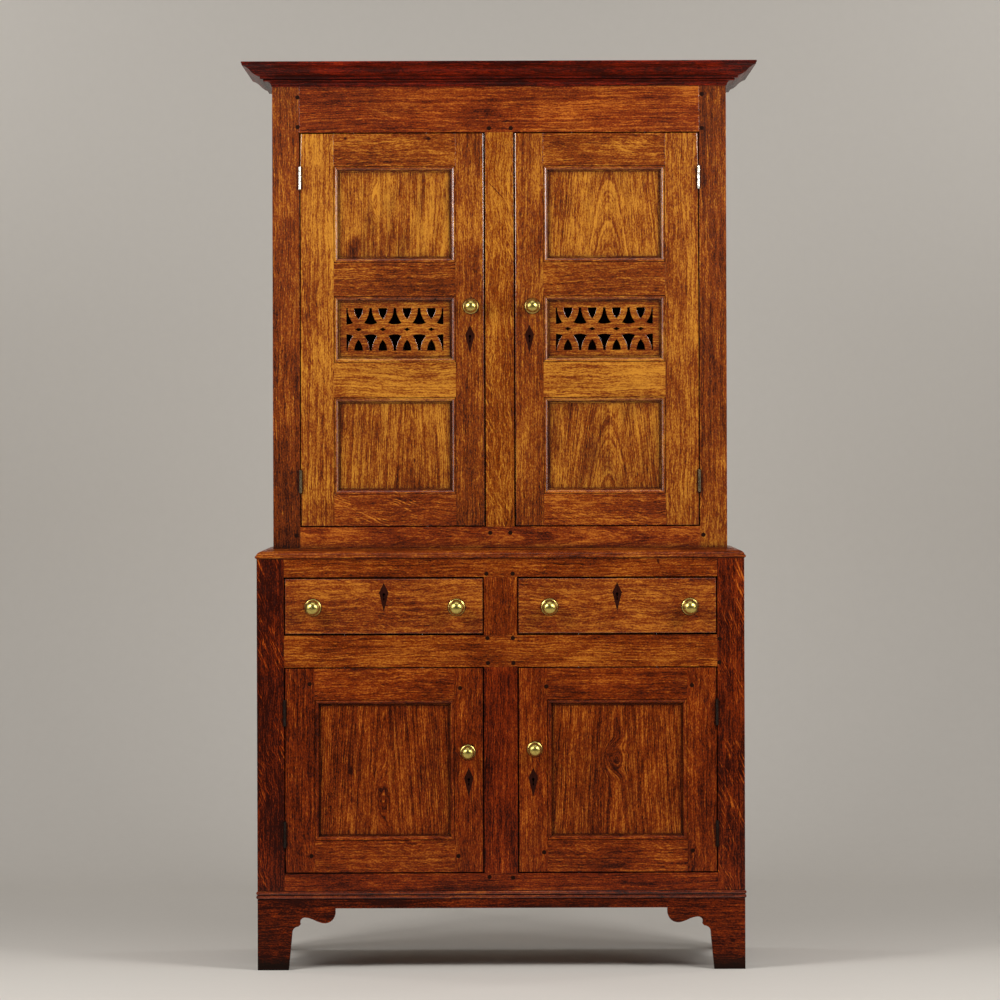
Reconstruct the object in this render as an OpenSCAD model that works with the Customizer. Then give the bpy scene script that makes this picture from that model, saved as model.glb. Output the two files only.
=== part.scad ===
// Bread and cheese cupboard in oak: a lower case with two drawers over two panelled
// doors, and an upper case with two doors, each with a pierced panel to let air in.
// Millimetres. X runs to the right, Y to the back and Z up; the origin is on the floor
// under the middle of the whole outline.

/* [Lower case] */
// Width across the front stiles of the lower case
lower_w = 1115; // [1000:1:1240]
// Depth of the lower case, from the face of its front frame to its back
lower_d = 520; // [460:1:600]
// Width of each front stile of the lower case
lower_stile_w = 62; // [56:1:80]
// Width of the muntins between the lower doors and between the drawers
lower_muntin_w = 76; // [66:1:96]
// Clear height under the plinth, between the bracket feet
foot_h = 141; // [134:1:170]
// Height of the plinth strip above the brackets
plinth_strip_h = 21; // [18:1:40]
// Thickness of the plinth boards
plinth_t = 22; // [18:1:28]
// Height of the beaded base moulding
base_h = 19; // [16:0.5:28]
// Projection of the base moulding from the plinth
base_proj = 3; // [1:0.5:8]
// Step under and over its beads
base_step = 0.5; // [0.3:0.1:1]
// Height of the bottom rail of the lower case
bottom_rail_h = 39.5; // [34:0.5:60]
// Height of the door opening in the lower case
lower_opening_h = 471.5; // [400:0.5:560]
// Height of the rail between doors and drawers
middle_rail_h = 72.6; // [60:0.1:90]
// Height of the drawer openings
drawer_opening_h = 133.4; // [120:0.1:160]
// Height of the rail above the drawers
top_rail_h = 42; // [36:1:60]

/* [Waist board] */
// Thickness of the board that covers the lower case
waist_t = 23; // [21:0.5:28]
// Projection of its nose from the lower case
waist_proj = 4; // [2:0.5:10]
// Width of the thumb moulding on its edge
thumb_w = 27; // [16:1:30]
// Height of the thumb moulding
thumb_h = 15; // [10:0.5:16]
// Width of the sloped wash behind the thumb moulding
wash_w = 12; // [4:0.5:13]
// Drop of the wash, and of the step between it and the thumb moulding
wash_drop = 2.5; // [0.5:0.5:4]
// Radius of the nose under the thumb moulding
nose_r = 3.2; // [2:0.1:4]
// Step under the nose
nose_foot = 1; // [0.5:0.5:2]

/* [Upper case] */
// Width across the front stiles of the upper case
upper_w = 1041; // [930:1:1044]
// Setback of the upper front frame behind the lower one
upper_setback = 40; // [20:1:60]
// Width of each front stile of the upper case
upper_stile_w = 62; // [56:1:80]
// Width of the muntin between the upper doors
upper_muntin_w = 65; // [58:1:84]
// Height of the bottom rail of the upper case
upper_bottom_rail_h = 49; // [40:0.5:64]
// Height of the door opening in the upper case
upper_opening_h = 905; // [860:1:980]
// Height of the top rail of the upper case
frieze_h = 145; // [110:1:180]
// Thickness of the top boards
top_board_t = 14; // [10:1:20]

/* [Cornice] */
// Height of the cornice
cornice_h = 53.5; // [50:0.5:66]
// Projection of the cornice from the upper case
cornice_proj = 68; // [62:0.5:84]
// Step at the very foot of the cornice
cornice_step = 1.5; // [0.5:0.5:3]
// Radius of the cavetto at the foot of the cornice
cavetto_r = 11; // [8:0.5:13]
// Radius of the bead above the cavetto
cornice_bead_r = 2.5; // [1.5:0.1:3]
// Distance from the end of the cavetto to the middle of the bead
cornice_bead_out = 5; // [3:0.5:8]
// Projection of the fillet above the bead
cornice_fillet_out = 27; // [22:0.5:34]
// Height of the fillet above the bead
cornice_fillet_h = 5.5; // [3:0.5:7]
// Height of the fillet at the very top
cornice_top_h = 8; // [6:0.5:12]
// Projection of the thin edge at the very top beyond the cyma
cornice_edge = 1.5; // [0.5:0.5:3]
// Depth of the bow in each half of the cyma
cyma_bow = 1.6; // [0.6:0.1:2.4]

/* [Sides and back] */
// Thickness of the side frames
side_t = 24; // [20:1:30]
// Width of the stiles of the side frames
side_stile_w = 62; // [50:1:80]
// Height of the bottom and middle rails of the side frames
side_rail_h = 72; // [56:1:90]
// Height of the top rail of the lower side frames
lower_top_side_rail_h = 58; // [44:1:80]
// Thickness of the side panels
side_panel_t = 7; // [5:0.5:8]
// Depth of the side panels behind the face of their frames
side_panel_set = 8; // [5:0.5:11]
// Thickness of the back boards
back_t = 10; // [8:1:16]
// Number of boards in each back
back_boards_n = 6; // [4:1:8]
// Gap between neighbouring back boards
back_board_gap = 0.6; // [0.4:0.1:1.5]

/* [Floors, shelves and runners] */
// Thickness of the floor boards
floor_t = 16; // [12:1:22]
// Thickness of the shelves
shelf_t = 18; // [14:1:24]
// Distance of the shelves behind the front frame
shelf_set = 24; // [16:1:60]
// Height of the lower shelf above the floor of the lower cupboard
lower_shelf_up = 230; // [180:1:280]
// Heights of the upper shelves above the floor of the upper cupboard
upper_shelf_up = [338, 578]; // [160:1:800]
// Side of the square cleats under floors and shelves
cleat_s = 20; // [14:1:26]
// Thickness of the drawer runners
runner_t = 22; // [16:1:28]
// Height of the guides beside the drawers
guide_h = 26; // [16:1:40]
// Width of a runner inside the drawer side that it carries
runner_inner = 14; // [8:1:24]
// Thickness of the stop strips behind the door muntins
stop_t = 12; // [8:1:15]
// Lap of a stop strip behind a door
stop_lap = 9; // [6:1:14]

/* [Joints] */
// Thickness of the tenons
tenon_t = 8; // [6:0.5:9]
// Length of the rail tenons
tenon_l = 42; // [30:1:48]
// Length of the muntin tenons
muntin_tenon_l = 25; // [16:1:30]
// Shoulder above and below a tenon
shoulder = 6; // [4:1:10]
// Clearance of a joint on each face
joint_fit = 0.1; // [0.05:0.05:0.3]

/* [Doors] */
// Thickness of the doors
door_t = 25; // [24:0.5:28]
// Clearance between a closed door and its stop strip
stop_gap = 1; // [0.5:0.1:2]
// Gap between a door and its hinge stile
hinge_gap = 2.4; // [2:0.1:3]
// Gap between a door and the muntin
lock_gap = 3.2; // [2.4:0.1:4]
// Gap above and below a door
door_gap = 2.4; // [1.5:0.1:4]
// Flat width of the hinge stiles of the upper doors
upper_hinge_stile_w = 76; // [66:1:90]
// Flat width of the hinge stiles of the lower doors
lower_hinge_stile_w = 67; // [60:1:84]
// Flat width of the lock stiles
lock_stile_w = 65; // [60:1:80]
// Flat height of the bottom rail of an upper door
upper_door_bottom_rail = 72.5; // [60:0.1:90]
// Height of the lower panel opening of an upper door
low_panel_h = 222.1; // [180:0.1:260]
// Flat height of the rail under the pierced panel
under_pierced_rail = 80.5; // [60:0.5:95]
// Height of the opening for the pierced panel
pierced_panel_h = 152.1; // [145:0.1:180]
// Flat height of the rail over the pierced panel
over_pierced_rail = 76.9; // [60:0.1:95]
// Flat height of the top rail of an upper door
upper_door_top_rail = 74.6; // [60:0.1:90]
// Flat height of the bottom rail of a lower door
lower_door_bottom_rail = 73; // [60:1:95]
// Flat height of the top rail of a lower door
lower_door_top_rail = 72; // [60:1:95]

/* [Door mouldings and panels] */
// Width of the moulding worked on the inner edges of the door frames
stick_w = 13; // [11.5:0.5:16]
// Width of the quirk that sets the moulding off from the face
quirk_w = 1.3; // [1:0.1:1.8]
// Depth of the quirk
quirk_d = 2; // [1:0.1:3]
// Step at the start of the ovolo
ovolo_step = 0.6; // [0.3:0.1:0.8]
// Depth of the ovolo
ovolo_d = 6.2; // [4:0.1:6.6]
// Flat beside the ovolo
ovolo_flat = 1; // [0.5:0.1:1.5]
// Width of the moulding's inner fillet
stick_fillet = 2.5; // [1.5:0.1:3]
// Depth of the moulding's inner fillet below the face
stick_d = 8.5; // [7.5:0.1:9]
// Depth of the panels' front face below the frame's face
panel_set = 10.5; // [9.5:0.1:12]
// Width of the grooves for the panels
groove_t = 6; // [5:0.5:7]
// Depth of the grooves for the panels
groove_d = 10; // [7:0.5:11]
// Room for a panel to swell at each edge of its groove
swell_gap = 1; // [0.5:0.1:2]
// Extra thickness of a panel's raised back
panel_back_t = 3.5; // [2:0.5:6]
// Width of the bevel round a panel's back
panel_bevel = 24; // [10:1:34]

/* [Pierced panel] */
// Width of the pierced window
window_w = 222.8; // [200:0.4:240]
// Height of the pierced window
window_h = 98; // [88:1:104]
// Number of steps from arch to arch along the window
arch_steps = 4; // [3:1:6]
// Outer radius of the interlaced arches
arch_outer_r = 52.9; // [51:0.1:56]
// Width of an arch
arch_band = 15.2; // [11:0.1:18]

/* [Drawers] */
// Gap above and below a drawer front
drawer_gap_z = 3.4; // [2:0.1:5]
// Gap beside a drawer front
drawer_gap_x = 2.2; // [1.5:0.1:3]
// Thickness of the drawer fronts
drawer_front_t = 20; // [18:1:25]
// Radius of the rounded edge round a drawer front
drawer_edge_r = 3.5; // [1:0.5:5]
// Length of a drawer, from its face to its back
drawer_l = 440; // [360:1:448]
// Thickness of the drawer sides and back
drawer_side_t = 11; // [9:1:14]
// Height of the drawer front above its sides
drawer_side_drop = 6; // [4:1:14]
// Running clearance under the drawer sides
runner_gap = 0.3; // [0.2:0.1:0.8]
// Running clearance between a drawer side and its guide
guide_gap = 0.7; // [0.4:0.1:1.2]
// Thickness of the drawer bottoms
drawer_bottom_t = 7; // [5:0.5:10]
// Height of a drawer bottom above the edge of its sides
drawer_bottom_up = 12; // [8:1:18]
// Depth of the grooves for the drawer bottoms
drawer_groove_d = 5; // [4:0.5:6]
// Length of the tails that join a side to the drawer front
tail_l = 13; // [10:1:15]
// Number of tails at each corner
tails_n = 3; // [2:1:4]
// Half width of a tail at its root, as a part of the pitch
tail_root = 0.3; // [0.2:0.01:0.32]
// Slope of a tail, as its spread on each side
tail_spread = 2.2; // [1:0.1:3]

/* [Knobs] */
// Radius of the ball of the upper door knobs
upper_knob_r = 16; // [12:0.5:19]
// Radius of the ball of the lower door knobs
lower_knob_r = 15.8; // [12:0.1:19]
// Radius of the ball of the drawer knobs
drawer_knob_r = 17.8; // [12:0.1:20]
// Length of the neck between a knob's rose and its ball
knob_neck = 9; // [1:0.5:12]
// Radius of the neck
knob_neck_r = 7; // [5:0.5:9]
// Thickness of the rose behind a ball
rose_t = 5; // [3:0.5:7]
// Height of the rose's straight edge, as a part of its thickness
rose_edge = 0.3; // [0.1:0.05:0.5]
// How much wider the rose is than the ball, on each side
rose_out = 1.5; // [0:0.5:3]
// Radius of the shank through the wood
shank_r = 3; // [2:0.5:4]
// Side of the square nut on the shank
nut_s = 13; // [10:1:16]
// Thickness of the nut
nut_t = 4; // [3:0.5:6]
// Height of the upper door knobs above the door's bottom edge
upper_knob_z = 503.5; // [490:0.5:530]
// Heights of the left and right lower door knobs above the door's bottom edge
lower_knob_z = [274.5, 281]; // [262:0.5:330]
// Distances of the left and right upper door knobs from the lock edge
upper_knob_in = [30.5, 39.5]; // [26:0.5:42]
// Distances of the left and right lower door knobs from the lock edge
lower_knob_in = [34.5, 36.5]; // [26:0.5:42]
// Distances of the left drawer's knobs from its outer and inner ends
left_drawer_knob_in = [64, 60.5]; // [50:0.5:90]
// Distances of the right drawer's knobs from its outer and inner ends
right_drawer_knob_in = [60, 72]; // [50:0.5:90]
// Distance of the drawer knobs below the middle of the front
drawer_knob_down = 2.5; // [0:0.5:8]

/* [Locks] */
// Width of the kite-shaped escutcheons
kite_w = 21.5; // [18:0.5:26]
// Height of the kite-shaped escutcheons
kite_h = 66; // [56:1:72]
// Height of their widest place, as a part of their height
kite_waist = 0.66; // [0.56:0.01:0.72]
// Thickness of the escutcheons, let in flush
kite_t = 2.5; // [1.5:0.1:4]
// Height of the key's centre above the foot of the escutcheon
key_in_kite = 40; // [36:1:44]
// Radius of the round part of a keyhole
key_r = 3; // [2:0.1:4]
// Width of the slot of a keyhole
key_slot_w = 2.8; // [2:0.1:3.5]
// Length of the slot below the key's centre
key_slot_l = 14; // [8:1:18]
// Height of the upper keyholes above the door's bottom edge
upper_key_z = 434.5; // [420:0.5:448]
// Height of the lower keyholes above the door's bottom edge
lower_key_z = 212; // [150:1:222]
// Distance of a drawer keyhole below the top edge of its front
drawer_key_down = 36; // [34:0.5:44]
// Height of a lock case, along the edge
lock_h = 54; // [48:1:58]
// Thickness of a lock case
lock_t = 9; // [8:0.5:11]
// Reach of a lock case behind the keyhole
lock_back = 14; // [10:1:18]
// Height of a bolt
bolt_h = 16; // [10:1:22]
// Thickness of a bolt
bolt_t = 4.5; // [3:0.5:5]
// Length of a bolt
bolt_l = 24; // [18:1:26]
// Throw of a bolt
bolt_throw = 8; // [5:0.5:10]
// Distance of a drawn bolt's nose inside the edge
bolt_set = 0.4; // [0.2:0.1:1]
// Running clearance round a bolt
bolt_fit = 0.1; // [0.05:0.05:0.3]
// Room round a thrown bolt in its mortise
strike_fit = 0.8; // [0.5:0.1:1.5]

/* [Hinges] */
// Length of the hinges of the upper doors
upper_hinge_l = 52; // [44:1:66]
// Length of the hinges of the lower doors
lower_hinge_l = 60; // [44:1:76]
// Distances of the upper hinges from the door's bottom and top edges
upper_hinge_in = [102, 102]; // [85:1:120]
// Distances of the lower hinges from the door's bottom and top edges
lower_hinge_in = [87, 102]; // [80:1:120]
// Radius of the hinge knuckles
knuckle_r = 3; // [2.6:0.1:3.6]
// Radius of the hinge pins
pin_r = 1.5; // [1.2:0.1:1.8]
// Running clearance of the pins
pin_fit = 0.05; // [0.02:0.01:0.1]
// Clearance between the knuckles and the face of the door
knuckle_gap = 0.3; // [0.2:0.05:0.6]
// Gap between neighbouring knuckles
knuckle_joint = 0.2; // [0.1:0.05:0.4]
// Number of knuckles on a hinge
knuckles_n = 5; // [3:2:7]
// Width of a hinge leaf, from the pin to its far edge
leaf_w = 23; // [16:1:26]
// Depth to which a hinge leaf is let into the wood
leaf_let = 0.8; // [0.4:0.1:1.4]
// Gap between the leaves of a closed hinge
leaf_gap = 0.4; // [0.3:0.1:0.8]

/* [Bracket feet] */
// Width of a foot at the floor
foot_floor_w = 71; // [66:1:84]
// Width of a foot under its bracket
foot_neck_w = 79; // [74:1:90]
// Radius of the quarter round at the top of the foot
foot_round_r = 14.5; // [10:0.5:18]
// Height of the quarter round's top above the floor
foot_round_top = 99.5; // [92:0.5:106]
// Flat between the quarter round and the hollow
bracket_flat = 3.5; // [1:0.5:6]
// Radius of the hollow at the start of the bracket
hollow_r = 11; // [8:0.5:13]
// Height of the hollow's top above the floor
hollow_top = 120; // [114:0.5:124]
// Angle at which the hollow starts
hollow_start = 205; // [195:1:210]
// Run of the ogee from the hollow to its low point
ogee_run = 46; // [34:1:60]
// Drop of the ogee
ogee_drop = 13; // [8:0.5:16]
// Radius of the curve that ends the bracket
bracket_end_r = 24; // [18:0.5:27]
// Side of the square blocks behind the feet
foot_block_s = 30; // [24:1:48]

/* [Hidden] */

// Steps in a worked curve
ARC_STEPS = 8;
// Overshoot of a cut past the face that it opens
CUT = 1;
ROUND = 48;
// Angle on the nose of the waist board at which the thumb moulding meets it
NOSE_ANGLE = 60;
// A recess for a kite grows this many times more at the two tips
TIP_GROW = 3;
LEFT = 0;
RIGHT = 1;

// Colours
OAK = [0.50, 0.26, 0.10];
OAK_DARK = [0.36, 0.15, 0.07];
OAK_GOLD = [0.60, 0.33, 0.12];
OAK_RAW = [0.62, 0.47, 0.30];
HORN = [0.12, 0.07, 0.07];
BRASS = [0.72, 0.60, 0.28];
IRON = [0.22, 0.20, 0.19];
STEEL = [0.62, 0.61, 0.58];

// Heights, from the floor up
plinth_h = foot_h + plinth_strip_h;
base_z = plinth_h + base_h;
lower_open_z = base_z + bottom_rail_h;
middle_rail_z = lower_open_z + lower_opening_h;
drawer_open_z = middle_rail_z + middle_rail_h;
top_rail_z = drawer_open_z + drawer_opening_h;
waist_z = top_rail_z + top_rail_h;
upper_z = waist_z + waist_t;
upper_open_z = upper_z + upper_bottom_rail_h;
frieze_z = upper_open_z + upper_opening_h;
upper_top_z = frieze_z + frieze_h;
total_h = upper_top_z + top_board_t;
cornice_z = total_h - cornice_h;

// Knobs
function knob_reach(ball_r) = rose_t + knob_neck + 2 * ball_r;

// Places from front to back
front_reach = max(knob_reach(drawer_knob_r), knob_reach(lower_knob_r));
lower_y = (front_reach - lower_d) / 2;
back_y = lower_y + lower_d;
upper_y = lower_y + upper_setback;
boards_y = back_y - back_t;
frame_t = door_t + stop_gap;

// Places from the middle outwards
lower_half = lower_w / 2;
upper_half = upper_w / 2;
lower_open_x = lower_half - lower_stile_w;
upper_open_x = upper_half - upper_stile_w;

// Left doors: [hinge edge x, lock edge x, face y, bottom z, top z, hinge stile width]
upper_door = [
    -upper_open_x + hinge_gap, -upper_muntin_w / 2 - lock_gap, upper_y,
    upper_open_z + door_gap, frieze_z - door_gap, upper_hinge_stile_w
];
lower_door = [
    -lower_open_x + hinge_gap, -lower_muntin_w / 2 - lock_gap, lower_y,
    lower_open_z + door_gap, middle_rail_z - door_gap, lower_hinge_stile_w
];

// Panel openings of the doors between the flats of their rails: [bottom z, top z]
low_z = upper_door[3] + upper_door_bottom_rail;
pierced_z = low_z + low_panel_h + under_pierced_rail;
high_z = pierced_z + pierced_panel_h + over_pierced_rail;
upper_door_openings = [
    [low_z, low_z + low_panel_h],
    [pierced_z, pierced_z + pierced_panel_h],
    [high_z, upper_door[4] - upper_door_top_rail]
];
lower_door_openings = [
    [lower_door[3] + lower_door_bottom_rail, lower_door[4] - lower_door_top_rail]
];

// Left drawer: ends of its front, and its top and bottom edges
drawer_x0 = -lower_open_x + drawer_gap_x;
drawer_x1 = -lower_muntin_w / 2 - drawer_gap_x;
drawer_z0 = drawer_open_z + drawer_gap_z;
drawer_z1 = top_rail_z - drawer_gap_z;
drawer_side_z0 = drawer_open_z + runner_gap;
drawer_side_z1 = drawer_z1 - drawer_side_drop;
drawer_back_y = lower_y + drawer_front_t;
drawer_end_y = lower_y + drawer_l;
drawer_bottom_z = drawer_side_z0 + drawer_bottom_up;
drawer_mid_x = (drawer_x0 + drawer_x1) / 2;
drawer_knob_z = (drawer_z0 + drawer_z1) / 2 - drawer_knob_down;

// Knobs of the left and right doors: [distance from the lock edge, height on the door]
upper_knobs = [for (i = [LEFT, RIGHT]) [upper_knob_in[i], upper_knob_z]];
lower_knobs = [for (i = [LEFT, RIGHT]) [lower_knob_in[i], lower_knob_z[i]]];

// Keyholes sit in the middle of the flat of a lock stile
door_key_in = lock_stile_w / 2;
leaf_t = hinge_gap / 2 - leaf_gap / 2 + leaf_let;

// Points on an arc about c, from angle a to angle b
function arc(c, r, a, b, n = ARC_STEPS) =
    [for (i = [0 : n]) c + r * [cos(a + (b - a) * i / n), sin(a + (b - a) * i / n)]];

// Points of a shallow arc from p to q, bowed to the left of the way from p to q
function bow(p, q, rise, n = ARC_STEPS) = [
    for (i = [0 : n])
        let (t = i / n, side = [p[1] - q[1], q[0] - p[0]] / norm(q - p))
        p + (q - p) * t + side * rise * 4 * t * (1 - t)
];

// A board between two corners
module board(lo, hi) {
    translate(lo) cube(hi - lo);
}

// The children and their mirror image across the middle
module both_sides() {
    children();
    mirror([1, 0, 0]) children();
}

// A front view outline, extruded backwards from y0
module along_y(y0, y1) {
    translate([0, y1, 0]) rotate([90, 0, 0]) linear_extrude(y1 - y0) children();
}

// A side view outline (Y, Z), extruded from x0 to x1
module along_x(x0, x1) {
    translate([x0, 0, 0]) rotate([90, 0, 90]) linear_extrude(x1 - x0) children();
}

// A plan outline, extruded from z0 to z1
module along_z(z0, z1) {
    translate([0, 0, z0]) linear_extrude(z1 - z0) children();
}

// A tenon that runs through a rail from joint to joint, in a frame with its face at y
module cross_tenon(x0, x1, y, t, z0, z1, grow = 0) {
    mid = y + t / 2;
    board(
        [x0 - tenon_l - grow, mid - tenon_t / 2 - grow, z0 + shoulder - grow],
        [x1 + tenon_l + grow, mid + tenon_t / 2 + grow, z1 - shoulder + grow]
    );
}

// The same for an upright muntin between two rails
module upright_tenon(half_w, y, z0, z1, grow = 0) {
    mid = y + frame_t / 2;
    board(
        [-half_w + shoulder - grow, mid - tenon_t / 2 - grow, z0 - muntin_tenon_l - grow],
        [half_w - shoulder + grow, mid + tenon_t / 2 + grow, z1 + muntin_tenon_l + grow]
    );
}

// Feet, plinth and base

// Outline of one bracket, from the floor to the underside of the strip:
// x is counted from the outer edge of the foot
function bracket_outline() = let (
    round_c = [foot_neck_w + foot_round_r, foot_round_top - foot_round_r],
    hollow_c = [foot_neck_w + foot_round_r + bracket_flat + hollow_r, hollow_top - hollow_r],
    low = [hollow_c[0] + ogee_run, hollow_top - ogee_drop]
) concat(
    [[foot_floor_w, 0]],
    arc(round_c, foot_round_r, 180, 90),
    arc(hollow_c, hollow_r, hollow_start, 90),
    [
        for (i = [1 : ARC_STEPS - 1])
            let (t = i / ARC_STEPS)
            [hollow_c[0] + ogee_run * t, hollow_top - ogee_drop * (1 - cos(180 * t)) / 2]
    ],
    arc(low + [0, bracket_end_r], bracket_end_r, -90, 0),
    [[low[0] + bracket_end_r, foot_h]]
);

// Board of the plinth with a bracket foot at both ends, as seen from its outer side
module plinth_outline(length) {
    left = bracket_outline();
    right = [for (i = [len(left) - 1 : -1 : 0]) [length - left[i][0], left[i][1]]];
    polygon(concat([[0, 0]], left, right, [[length, 0], [length, plinth_h], [0, plinth_h]]));
}

// Plan of the mitred front length of a band t thick round a case
module front_plan(half, y, t) {
    polygon([[-half, y], [half, y], [half - t, y + t], [-half + t, y + t]]);
}

// Plan of the right-hand length of the same band
module side_plan(half, y, t) {
    polygon([
        [half, y + joint_fit], [half, back_y],
        [half - t, back_y], [half - t, y + t + joint_fit]
    ]);
}

module plinth() {
    color(OAK_DARK) {
        intersection() {
            along_y(lower_y, lower_y + plinth_t)
                translate([-lower_half, 0]) plinth_outline(lower_w);
            along_z(0, plinth_h) front_plan(lower_half, lower_y, plinth_t);
        }
        both_sides() intersection() {
            along_x(lower_half - plinth_t, lower_half)
                translate([lower_y, 0]) plinth_outline(lower_d);
            along_z(0, plinth_h) side_plan(lower_half, lower_y, plinth_t);
        }
        board(
            [-lower_half + plinth_t + joint_fit, back_y - plinth_t, foot_h],
            [lower_half - plinth_t - joint_fit, back_y, plinth_h]
        );
    }
}

module foot_blocks() {
    inner = lower_half - plinth_t;
    color(OAK_RAW) both_sides() {
        board(
            [inner - foot_block_s, lower_y + plinth_t, 0],
            [inner, lower_y + plinth_t + foot_block_s, plinth_h]
        );
        board(
            [inner - foot_block_s, back_y - plinth_t - foot_block_s, 0],
            [inner, back_y - plinth_t, plinth_h]
        );
        board([inner - foot_block_s, back_y - plinth_t, 0], [inner, back_y, foot_h]);
    }
}

// Two beads, one above the other: out is counted from the inner edge of the base board
module base_profile(depth) {
    bead_r = (base_h - 2 * base_step) / 4;
    out = depth - bead_r;
    polygon(concat(
        [[0, plinth_h], [out, plinth_h], [out, plinth_h + base_step]],
        arc([out, plinth_h + base_step + bead_r], bead_r, -90, 90),
        arc([out, base_z - base_step - bead_r], bead_r, -90, 90),
        [[out, base_z], [0, base_z]]
    ));
}

module base_moulding() {
    depth = plinth_t * 2 + base_proj;
    half = lower_half + base_proj;
    front = lower_y - base_proj;
    color(OAK) {
        intersection() {
            along_x(-half, half)
                translate([front + depth, 0]) mirror([1, 0]) base_profile(depth);
            along_z(plinth_h, base_z) front_plan(half, front, depth);
        }
        both_sides() intersection() {
            along_y(front, back_y) translate([half - depth, 0]) base_profile(depth);
            along_z(plinth_h, base_z) side_plan(half, front, depth);
        }
        board(
            [-half + depth + joint_fit, back_y - depth, plinth_h],
            [half - depth - joint_fit, back_y, base_z]
        );
    }
}

// Front frames

module hinge_seat(door, hinge_l, hinge_in, on_door) {
    pin_x = door[0] - hinge_gap / 2;
    side = on_door ? 1 : -1;
    near = pin_x;
    far = pin_x + side * (hinge_gap / 2 + leaf_let);
    for (mid = [door[3] + hinge_in[0], door[4] - hinge_in[1]])
        board(
            [min(near, far), door[2] - CUT, mid - hinge_l / 2],
            [max(near, far), door[2] - knuckle_r - knuckle_gap + leaf_w, mid + hinge_l / 2]
        );
}

module lower_front_stiles() {
    color(OAK_DARK) both_sides() difference() {
        board([-lower_half, lower_y, base_z], [-lower_open_x, lower_y + frame_t, waist_z]);
        lower_rail_tenons(joint_fit);
        hinge_seat(lower_door, lower_hinge_l, lower_hinge_in, false);
    }
}

// Rails of the lower front frame: [bottom z, top z]
lower_rails = [
    [base_z, lower_open_z],
    [middle_rail_z, drawer_open_z],
    [top_rail_z, waist_z]
];
upper_rails = [[upper_z, upper_open_z], [frieze_z, upper_top_z]];

module lower_rail_tenons(grow) {
    for (r = lower_rails)
        cross_tenon(-lower_open_x, lower_open_x, lower_y, frame_t, r[0], r[1], grow);
}

module upper_rail_tenons(grow) {
    for (r = upper_rails)
        cross_tenon(-upper_open_x, upper_open_x, upper_y, frame_t, r[0], r[1], grow);
}

module muntin_tenons(grow) {
    upright_tenon(lower_muntin_w / 2, lower_y, lower_open_z, middle_rail_z, grow);
    upright_tenon(lower_muntin_w / 2, lower_y, drawer_open_z, top_rail_z, grow);
    upright_tenon(upper_muntin_w / 2, upper_y, upper_open_z, frieze_z, grow);
}

module lower_front_rails() {
    color(OAK) difference() {
        union() {
            for (r = lower_rails)
                board([-lower_open_x, lower_y, r[0]], [lower_open_x, lower_y + frame_t, r[1]]);
            lower_rail_tenons(0);
        }
        muntin_tenons(joint_fit);
        both_sides() drawer_strike();
    }
}

module upper_front_stiles() {
    color(OAK_DARK) both_sides() difference() {
        board([-upper_half, upper_y, upper_z], [-upper_open_x, upper_y + frame_t, upper_top_z]);
        upper_rail_tenons(joint_fit);
        hinge_seat(upper_door, upper_hinge_l, upper_hinge_in, false);
    }
}

module upper_front_rails() {
    color(OAK) difference() {
        union() {
            for (r = upper_rails)
                board([-upper_open_x, upper_y, r[0]], [upper_open_x, upper_y + frame_t, r[1]]);
            upper_rail_tenons(0);
        }
        muntin_tenons(joint_fit);
    }
}

// Mortise in a muntin for the thrown bolt of a left door
module door_strike(door, key_z) {
    z = door[3] + key_z;
    y = door[2] + door_t - lock_t / 2;
    board(
        [door[1], y - bolt_t / 2 - strike_fit, z - bolt_h / 2 - strike_fit],
        [
            door[1] + bolt_throw + strike_fit, y + bolt_t / 2 + strike_fit,
            z + bolt_h / 2 + strike_fit
        ]
    );
}

// Mortise in the top rail for the thrown bolt of the left drawer
module drawer_strike() {
    y = drawer_back_y - lock_t / 2;
    board(
        [drawer_mid_x - bolt_h / 2 - strike_fit, y - bolt_t / 2 - strike_fit, top_rail_z - CUT],
        [
            drawer_mid_x + bolt_h / 2 + strike_fit, y + bolt_t / 2 + strike_fit,
            drawer_z1 + bolt_throw + strike_fit
        ]
    );
}

module muntin(half_w, y, z0, z1) {
    board([-half_w, y, z0], [half_w, y + frame_t, z1]);
    upright_tenon(half_w, y, z0, z1);
}

// Strip behind a muntin, for the doors to close on
module stop_strip(half_w, y, z0, z1) {
    front = y + frame_t + joint_fit;
    board([-half_w - stop_lap, front, z0], [half_w + stop_lap, front + stop_t, z1]);
}

module muntins() {
    color(OAK_GOLD) {
        difference() {
            union() {
                muntin(lower_muntin_w / 2, lower_y, lower_open_z, middle_rail_z);
                muntin(lower_muntin_w / 2, lower_y, drawer_open_z, top_rail_z);
                muntin(upper_muntin_w / 2, upper_y, upper_open_z, frieze_z);
            }
            both_sides() {
                door_strike(lower_door, lower_key_z);
                door_strike(upper_door, upper_key_z);
            }
        }
        stop_strip(lower_muntin_w / 2, lower_y, lower_open_z, middle_rail_z + shoulder);
        stop_strip(upper_muntin_w / 2, upper_y, upper_open_z, frieze_z + shoulder);
    }
}

// Side frames and panels

// Rails of the side frames: [bottom z, top z]
lower_side_rails = [
    [base_z, base_z + side_rail_h],
    [middle_rail_z, middle_rail_z + side_rail_h],
    [waist_z - lower_top_side_rail_h, waist_z]
];
upper_side_mid = (upper_z + upper_top_z) / 2;
upper_side_rails = [
    [upper_z, upper_z + side_rail_h],
    [upper_side_mid - side_rail_h / 2, upper_side_mid + side_rail_h / 2],
    [frieze_z, upper_top_z]
];

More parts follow.
